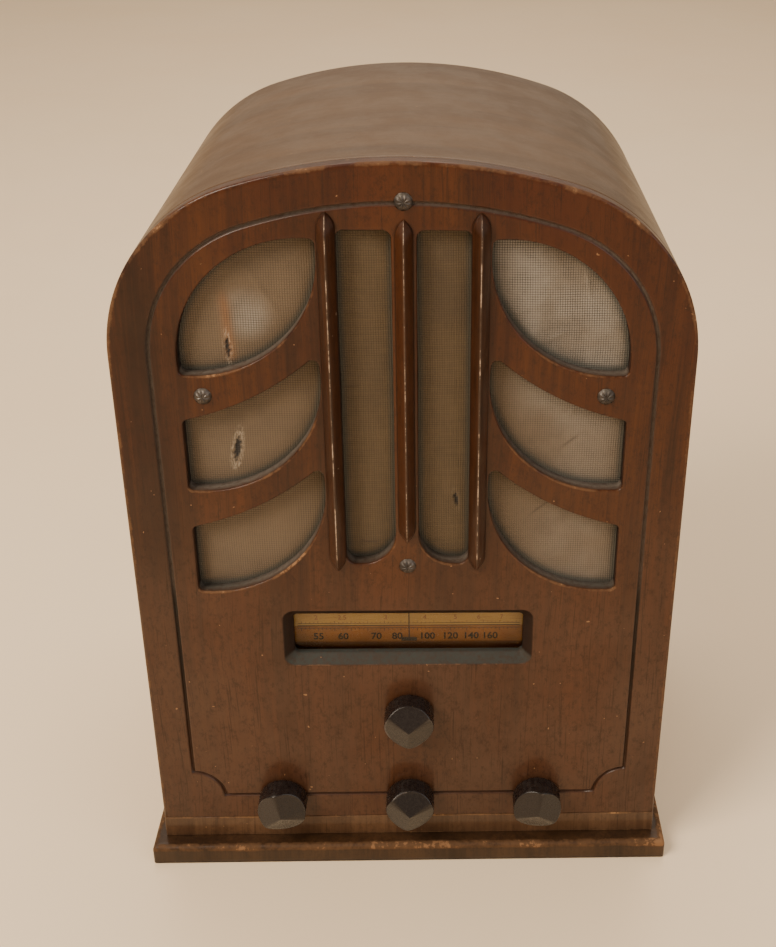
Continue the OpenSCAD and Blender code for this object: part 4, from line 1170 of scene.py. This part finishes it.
def fluted_knob(which):
    """A knob: fluted round sides and three planes that meet in a point at the front.

    In polar form about its axis, the front falls from the point by the slope times the
    radius times the largest of three cosines 120 degrees apart, softened along the ridges."""
    shell = Shell()
    low, high = extent(which + "_knob")
    center = (low[0] + high[0]) / 2, (low[2] + high[2]) / 2
    radius = (high[0] - low[0]) / 2
    back, tip = high[1], low[1]
    bore_r, bore_end = 3.2, back - 9.0
    slope = 3.5 / (radius / 2)
    around = np.radians(np.arange(0, 360, 1.5))
    planes = np.radians(FACETS[which] + np.array([0, 120, 240]))
    facing = np.cos(around[:, None] - planes[None, :])

    def front(r):
        """Depth of the front face at a radius, for every angle."""
        sharp = 9.0 / max(r, 0.5) * r * facing
        return tip + slope * r * np.maximum(np.log(np.exp(sharp).sum(1)) / 9.0, 0)

    flute = 0.5 - 0.5 * np.cos(FLUTES * around)
    rim_r = radius - 0.24 * flute**1.5
    smooth_r = radius - 0.12 + 0 * around
    rim_front = front(radius - 0.9)
    rings, edges = [], []

    def ring(r, y, edge):
        rings.append(ring_about(center, r, y, around))
        edges.append(edge + 0 * around)

    second, first = np.sort(facing, 1)[:, 1:].T
    ridge = np.exp(-(((first - second) / 0.10) ** 2))
    for r, y in ((0.0, bore_end), (bore_r, bore_end), (bore_r, back)):
        ring(r, y, 0)
    ring(rim_r - 0.8, back, 0)
    ring(rim_r - 0.15, back - 0.3, 0.5)
    ring(rim_r, back - 0.9, 0.2)
    for share, fluted in ((0.2, 1), (0.4, 1), (0.6, 0.9), (0.75, 0.55), (0.87, 0.2), (0.94, 0)):
        ring(rim_r * fluted + smooth_r * (1 - fluted),
             (back - 0.9) * (1 - share) + (rim_front + 0.9) * share, 0.05)
    ring(smooth_r, rim_front + 0.45, 0.4)
    ring(smooth_r - 0.18, rim_front + 0.16, 0.8)
    ring(smooth_r - 0.5, rim_front + 0.03, 0.9)
    for r in (radius - 1.3, radius - 2.2, radius - 4.5, 6.5, 4.5, 3.0, 1.8, 0.9, 0.35, 0.0):
        ring(r, front(r), 0.7 * ridge * (1 if r > 1 else 0.9) + (0.1 if r > 11 else 0))
    shell.grid(np.stack(rings), close=True, edge=np.stack(edges))
    body = "tuning_spindle" if which == "tuning" else which
    shell.build(which + "_fluted_knob", "knob_bakelite", body, [which + "_knob"])


def rosette_bolts():
    """Four bolts: a domed head pressed with petals, over a plain shank.

    The head's height is a dome times a cosine of eight petals that fades at its middle."""
    shell = Shell()
    low, high = extent("grille_bolts")
    tip, shank_end = low[1], high[1]
    head_r, shank_r = 4.3, 2.4
    around = np.radians(np.arange(0, 360, 5))
    petals = 0.5 + 0.5 * np.cos(PETALS * around)
    for middle in BOLT_PLACES:
        profile = []
        for share in (0.0, 0.16, 0.3, 0.42, 0.55, 0.68, 0.8, 0.9, 0.97, 1.0):
            dome = tip * (1 - share**3.2)
            dimple = 0.55 * math.exp(-((share / 0.2) ** 2))
            press = 0.55 * petals * math.sin(math.pi * min(share * 1.15, 1)) ** 1.2
            profile.append((head_r * share * (1 - 0.05 * petals * share), dome + dimple + press))
        profile += [(head_r, 0.0), (shank_r, 0.0), (shank_r, shank_end - 0.4),
                    (shank_r - 0.4, shank_end), (0.0, shank_end)]
        rings = [ring_about(middle, r, y, around) for r, y in profile]
        shell.grid(np.stack(rings), close=True, edge=np.linspace(0.6, 0.0, len(rings)))
    shell.build("rosette_bolts", "bolt_bronze", "cabinet", ["grille_bolts"])


# ---- Grille cloth ----

CLOTH_HALF_W, CLOTH_FOOT, CLOTH_INSET, CLOTH_Y = 119.5, 175.5, 10.5, 8.5
# Each tear has a centre, a half width, a half height and a lean; each crease and snag has
# a centre, a half length and an angle.
TEARS = ((-84.5, 314.8, 1.2, 6.2, 2), (-83.5, 260.3, 1.9, 7.6, -10), (24.8, 231.0, 1.2, 4.6, 12))
CREASES = ((84.0, 286.0, 11.0, 62), (74.0, 243.0, 7.0, 40), (-66.0, 343.0, 12.0, 120),
           (86.0, 350.0, 11.0, 100), (-92.0, 232.0, 9.0, 60), (70.0, 320.0, 8.0, 30))
SNAGS = ((-27.1, 294.3, 4.0, 6), (-19.5, 205.7, 4.5, -6), (81.4, 264.6, 5.0, 40),
         (69.0, 227.0, 8.0, 40))


def arch_height(x, inset):
    """Height of the arch above each x, from its two kinds of arc."""
    shoulder = SPRING_Z + np.sqrt(
        np.clip((SHOULDER_R - inset) ** 2 - (np.abs(x) - SHOULDER_X) ** 2, 0, None)
    )
    crown = CROWN_Z + np.sqrt((CROWN_R - inset) ** 2 - x**2)
    join = (CROWN_R - inset) * math.cos(math.radians(CROWN_ANGLE))
    return np.where(np.abs(x) > join, shoulder, crown)


def along_line(x, z, line_x, line_z, length, angle):
    """Distance across and along a short line through a point at an angle, in degrees."""
    c, s = math.cos(math.radians(angle)), math.sin(math.radians(angle))
    dx, dz = x - line_x, z - line_z
    return -dx * s + dz * c, (dx * c + dz * s) / length


def stretched_cloth():
    """The grille cloth: held between panel and board, and bulging into each opening.

    Its columns stand at even x and reach from the foot to the arch. The bulge rises with
    the distance into an opening, and creases and slow ripples are added to it."""
    columns, rows = 260, 250
    x = np.linspace(-CLOTH_HALF_W, CLOTH_HALF_W, columns)
    t = np.linspace(0, 1, rows)
    top = arch_height(x, CLOTH_INSET)
    grid_x = np.broadcast_to(x[None, :], (rows, columns)).ravel()
    grid_z = (CLOTH_FOOT + t[:, None] * (top[None, :] - CLOTH_FOOT)).ravel()
    flat = np.stack([grid_x, grid_z], 1)
    depth = np.zeros(len(flat))
    for outline in OPENINGS.values():
        loop = outline(0.0)
        near = inside(flat, loop)
        depth[near] = np.maximum(depth[near], distance(flat[near], loop))
    bulge = 1.15 * (1 - np.exp(-depth / 7.0))
    ripple = np.sin(grid_x * 0.21 + 1.3 * np.sin(grid_z * 0.07))
    ripple *= np.sin(grid_z * 0.12 + grid_x * 0.05)
    open_share = smooth_step(depth, 0.5, 6.0)
    leaf = 0 * depth
    for name, outline in OPENINGS.items():
        if "slot" not in name:
            leaf[inside(flat, outline(2.0))] = 1.0
    y = CLOTH_Y - bulge - 0.18 * ripple * open_share
    for line_x, line_z, length, angle in CREASES:
        across, along = along_line(grid_x, grid_z, line_x, line_z, length, angle)
        y -= 0.6 * np.exp(-((across / 1.1) ** 2) - along**2) * open_share
    creased = 0 * depth
    for line_x, line_z, length, angle in SNAGS:
        across, along = along_line(grid_x, grid_z, line_x, line_z, length, angle)
        creased = np.maximum(creased, np.exp(-((across / 0.7) ** 2) - along**4))
    y += 0.3 * creased * open_share
    stained = np.exp(-(((grid_x + 84.0 + 0.06 * (grid_z - 325)) / 2.6) ** 2))
    stained = stained * smooth_step(grid_z, 302, 312) * (1 - smooth_step(grid_z, 336, 347))
    torn, frayed = np.zeros(len(flat)), np.zeros(len(flat))
    for tear_x, tear_z, wide, tall, lean in TEARS:
        across, along = along_line(grid_x, grid_z, tear_x, tear_z, tall, 90 + lean)
        wobble = 0.35 * np.sin(grid_z * 2.1) * np.sin(grid_x * 1.7)
        reach = np.sqrt((across / wide) ** 2 + along**2) + wobble * 0.5
        torn = np.maximum(torn, 1 - smooth_step(reach, 0.7, 0.95))
        share = 0.5 if tear_x < 0 else 0.1
        frayed = np.maximum(frayed, share * np.exp(-(((reach - 1.3) / 0.3) ** 2)))
    y += 0.8 * torn - 0.35 * frayed * open_share
    faded = smooth_step(grid_x + 0.25 * (grid_z - 300), 40, 70) * smooth_step(grid_z, 225, 330)
    faded = np.maximum(faded, 0.85 * (1 - smooth_step(np.hypot(grid_x + 75, grid_z - 332), 4, 16)))
    faded = np.maximum(faded, 0.35 * smooth_step(grid_x, 50, 90) * leaf)
    # recess paints shadow near the openings' edges, creased paints shade along snags and torn paints the
    # tears near-black.
    marks = {
        "recess": 1 - smooth_step(depth, 0.2, 4.0), "faded": faded, "leaf": leaf,
        "creased": creased, "stained": stained, "torn": torn, "frayed": frayed * (1 - torn),
    }
    shell = Shell()
    shell.grid(
        np.stack([grid_x, y, grid_z], 1).reshape(rows, columns, 3), uv=flat * MM,
        **{name: value.reshape(rows, columns) for name, value in marks.items()},
    )
    cloth = shell.build("stretched_grille_cloth", "cloth", "cabinet", ["grille_cloth"])
    thick = cloth.modifiers.new("thickness", "SOLIDIFY")
    thick.thickness, thick.offset = 0.45 * MM, 0.0
    wide, tall = 2 * CLOTH_HALF_W * MM, float(top.max() - CLOTH_FOOT) * MM


# ---- Dial print ----


def dial_print():
    """Generic numerals and tick marks, printed just in front of the scale."""
    front = extent("dial_scale")[0][1] - 0.08
    shell = Shell()

    def mark(x, z, w, h):
        corners = np.array([(-w, -h), (w, -h), (w, h), (-w, h)]) / 2 + (x, z)
        near, far = upright(corners, front), upright(corners, front + 0.06)
        shell.add(near, [[0, 1, 2, 3]], True)
        shell.add(far, [[3, 2, 1, 0]], True)
        shell.grid(np.stack([near, far]), close=True)

    half, ticks = DIAL_W / 2 - 3, 53
    for i in range(ticks):
        tall = 2.0 if i % 4 == 0 else 1.1
        x = -half + 2 * half * i / (ticks - 1)
        mark(x, DIAL_Z - 3.4 - tall / 2, 0.3, tall)
        mark(x, DIAL_Z - 0.4 + tall / 2 * 0.8, 0.22, tall * 0.8)
    for z, thick in ((DIAL_Z - 0.4, 0.3), (DIAL_Z - 1.8, 0.55), (DIAL_Z - 3.4, 0.35)):
        mark(0, z, 2 * half + 4, thick)
    shell.build("dial_tick_marks", "pointer_paint", "cabinet")
    high_row = zip((-50, -36, -12.5, 8.5, 25, 37.6, 50), ("2", "2.5", "3", "4", "5", "6", "7"))
    low_row = zip((-49, -35.7, -17.8, -6.5, 9.7, 22.2, 33.5, 43.8),
                  ("55", "60", "70", "80", "100", "120", "140", "160"))
    for name, finish, z, size, swell, words in (
        ("dial_numerals", "scale_ink", DIAL_Z - 9.0, 5.8, 0.13, low_row),
        ("dial_small_numerals", "faint_print", DIAL_Z + 3.4, 4.0, 0.07, high_row),
    ):
        work = bmesh.new()
        for x, word in words:
            text = bpy.data.curves.new("numeral", "FONT")
            text.body, text.size = word, size * MM
            text.align_x, text.align_y = "CENTER", "CENTER"
            text.extrude, text.offset = 0.02 * MM, swell * MM
            holder = in_scene("numeral", text)
            bpy.context.view_layer.update()
            mesh = bpy.data.meshes.new_from_object(holder)
            stood_up = Matrix.Rotation(math.pi / 2, 4, "X")
            mesh.transform(Matrix.Translation(place([x, front + 0.02, z])) @ stood_up)
            bpy.data.objects.remove(holder)
            work.from_mesh(mesh)
        joined_mesh = bpy.data.meshes.new(name)
        work.to_mesh(joined_mesh)
        work.free()
        joined_mesh.materials.clear()
        piece(name, joined_mesh, "pointer_paint", "cabinet")
        joined_mesh.materials[0] = FINISH[finish]


# ---- Assembly ----

pierced_front()
rail_moulding()
bent_wrap()
base_moulding()
for rib in ("left_rib", "centre_rib", "right_rib"):
    rib_moulding(rib)
for knob in FACETS:
    fluted_knob(knob)
rosette_bolts()
stretched_cloth()
dial_print()


def floor_material():
    """Pale, slightly mottled laminate."""
    material, tree, shader, at = new_material("floor_paint")
    connect(
        tree, shader,
        Base_Color=mix(tree, noise(tree, at, 3.0), (0.92, 0.72, 0.49, 1), (0.96, 0.79, 0.57, 1)),
        Roughness=between(tree, noise(tree, at, 20.0), 0, 1, 0.4, 0.6),
    )
    return material


def make_floor():
    """A wide floor that the radio stands on."""
    mesh = bpy.data.meshes.new("floor")
    reach = 6.0
    corners = [(-reach, -reach, 0), (reach, -reach, 0), (reach, reach, 0), (-reach, reach, 0)]
    mesh.from_pydata(corners, [], [(0, 1, 2, 3)])
    mesh.materials.append(floor_material())
    floor = in_scene("floor", mesh)


def make_world():
    """A warm pale room."""
    world = bpy.data.worlds.new("room")
    world.use_nodes = True
    background = world.node_tree.nodes["Background"]
    background.inputs["Color"].default_value = (0.85, 0.68, 0.50, 1)
    background.inputs["Strength"].default_value = 0.66
    bpy.context.scene.world = world


make_floor()
make_world()
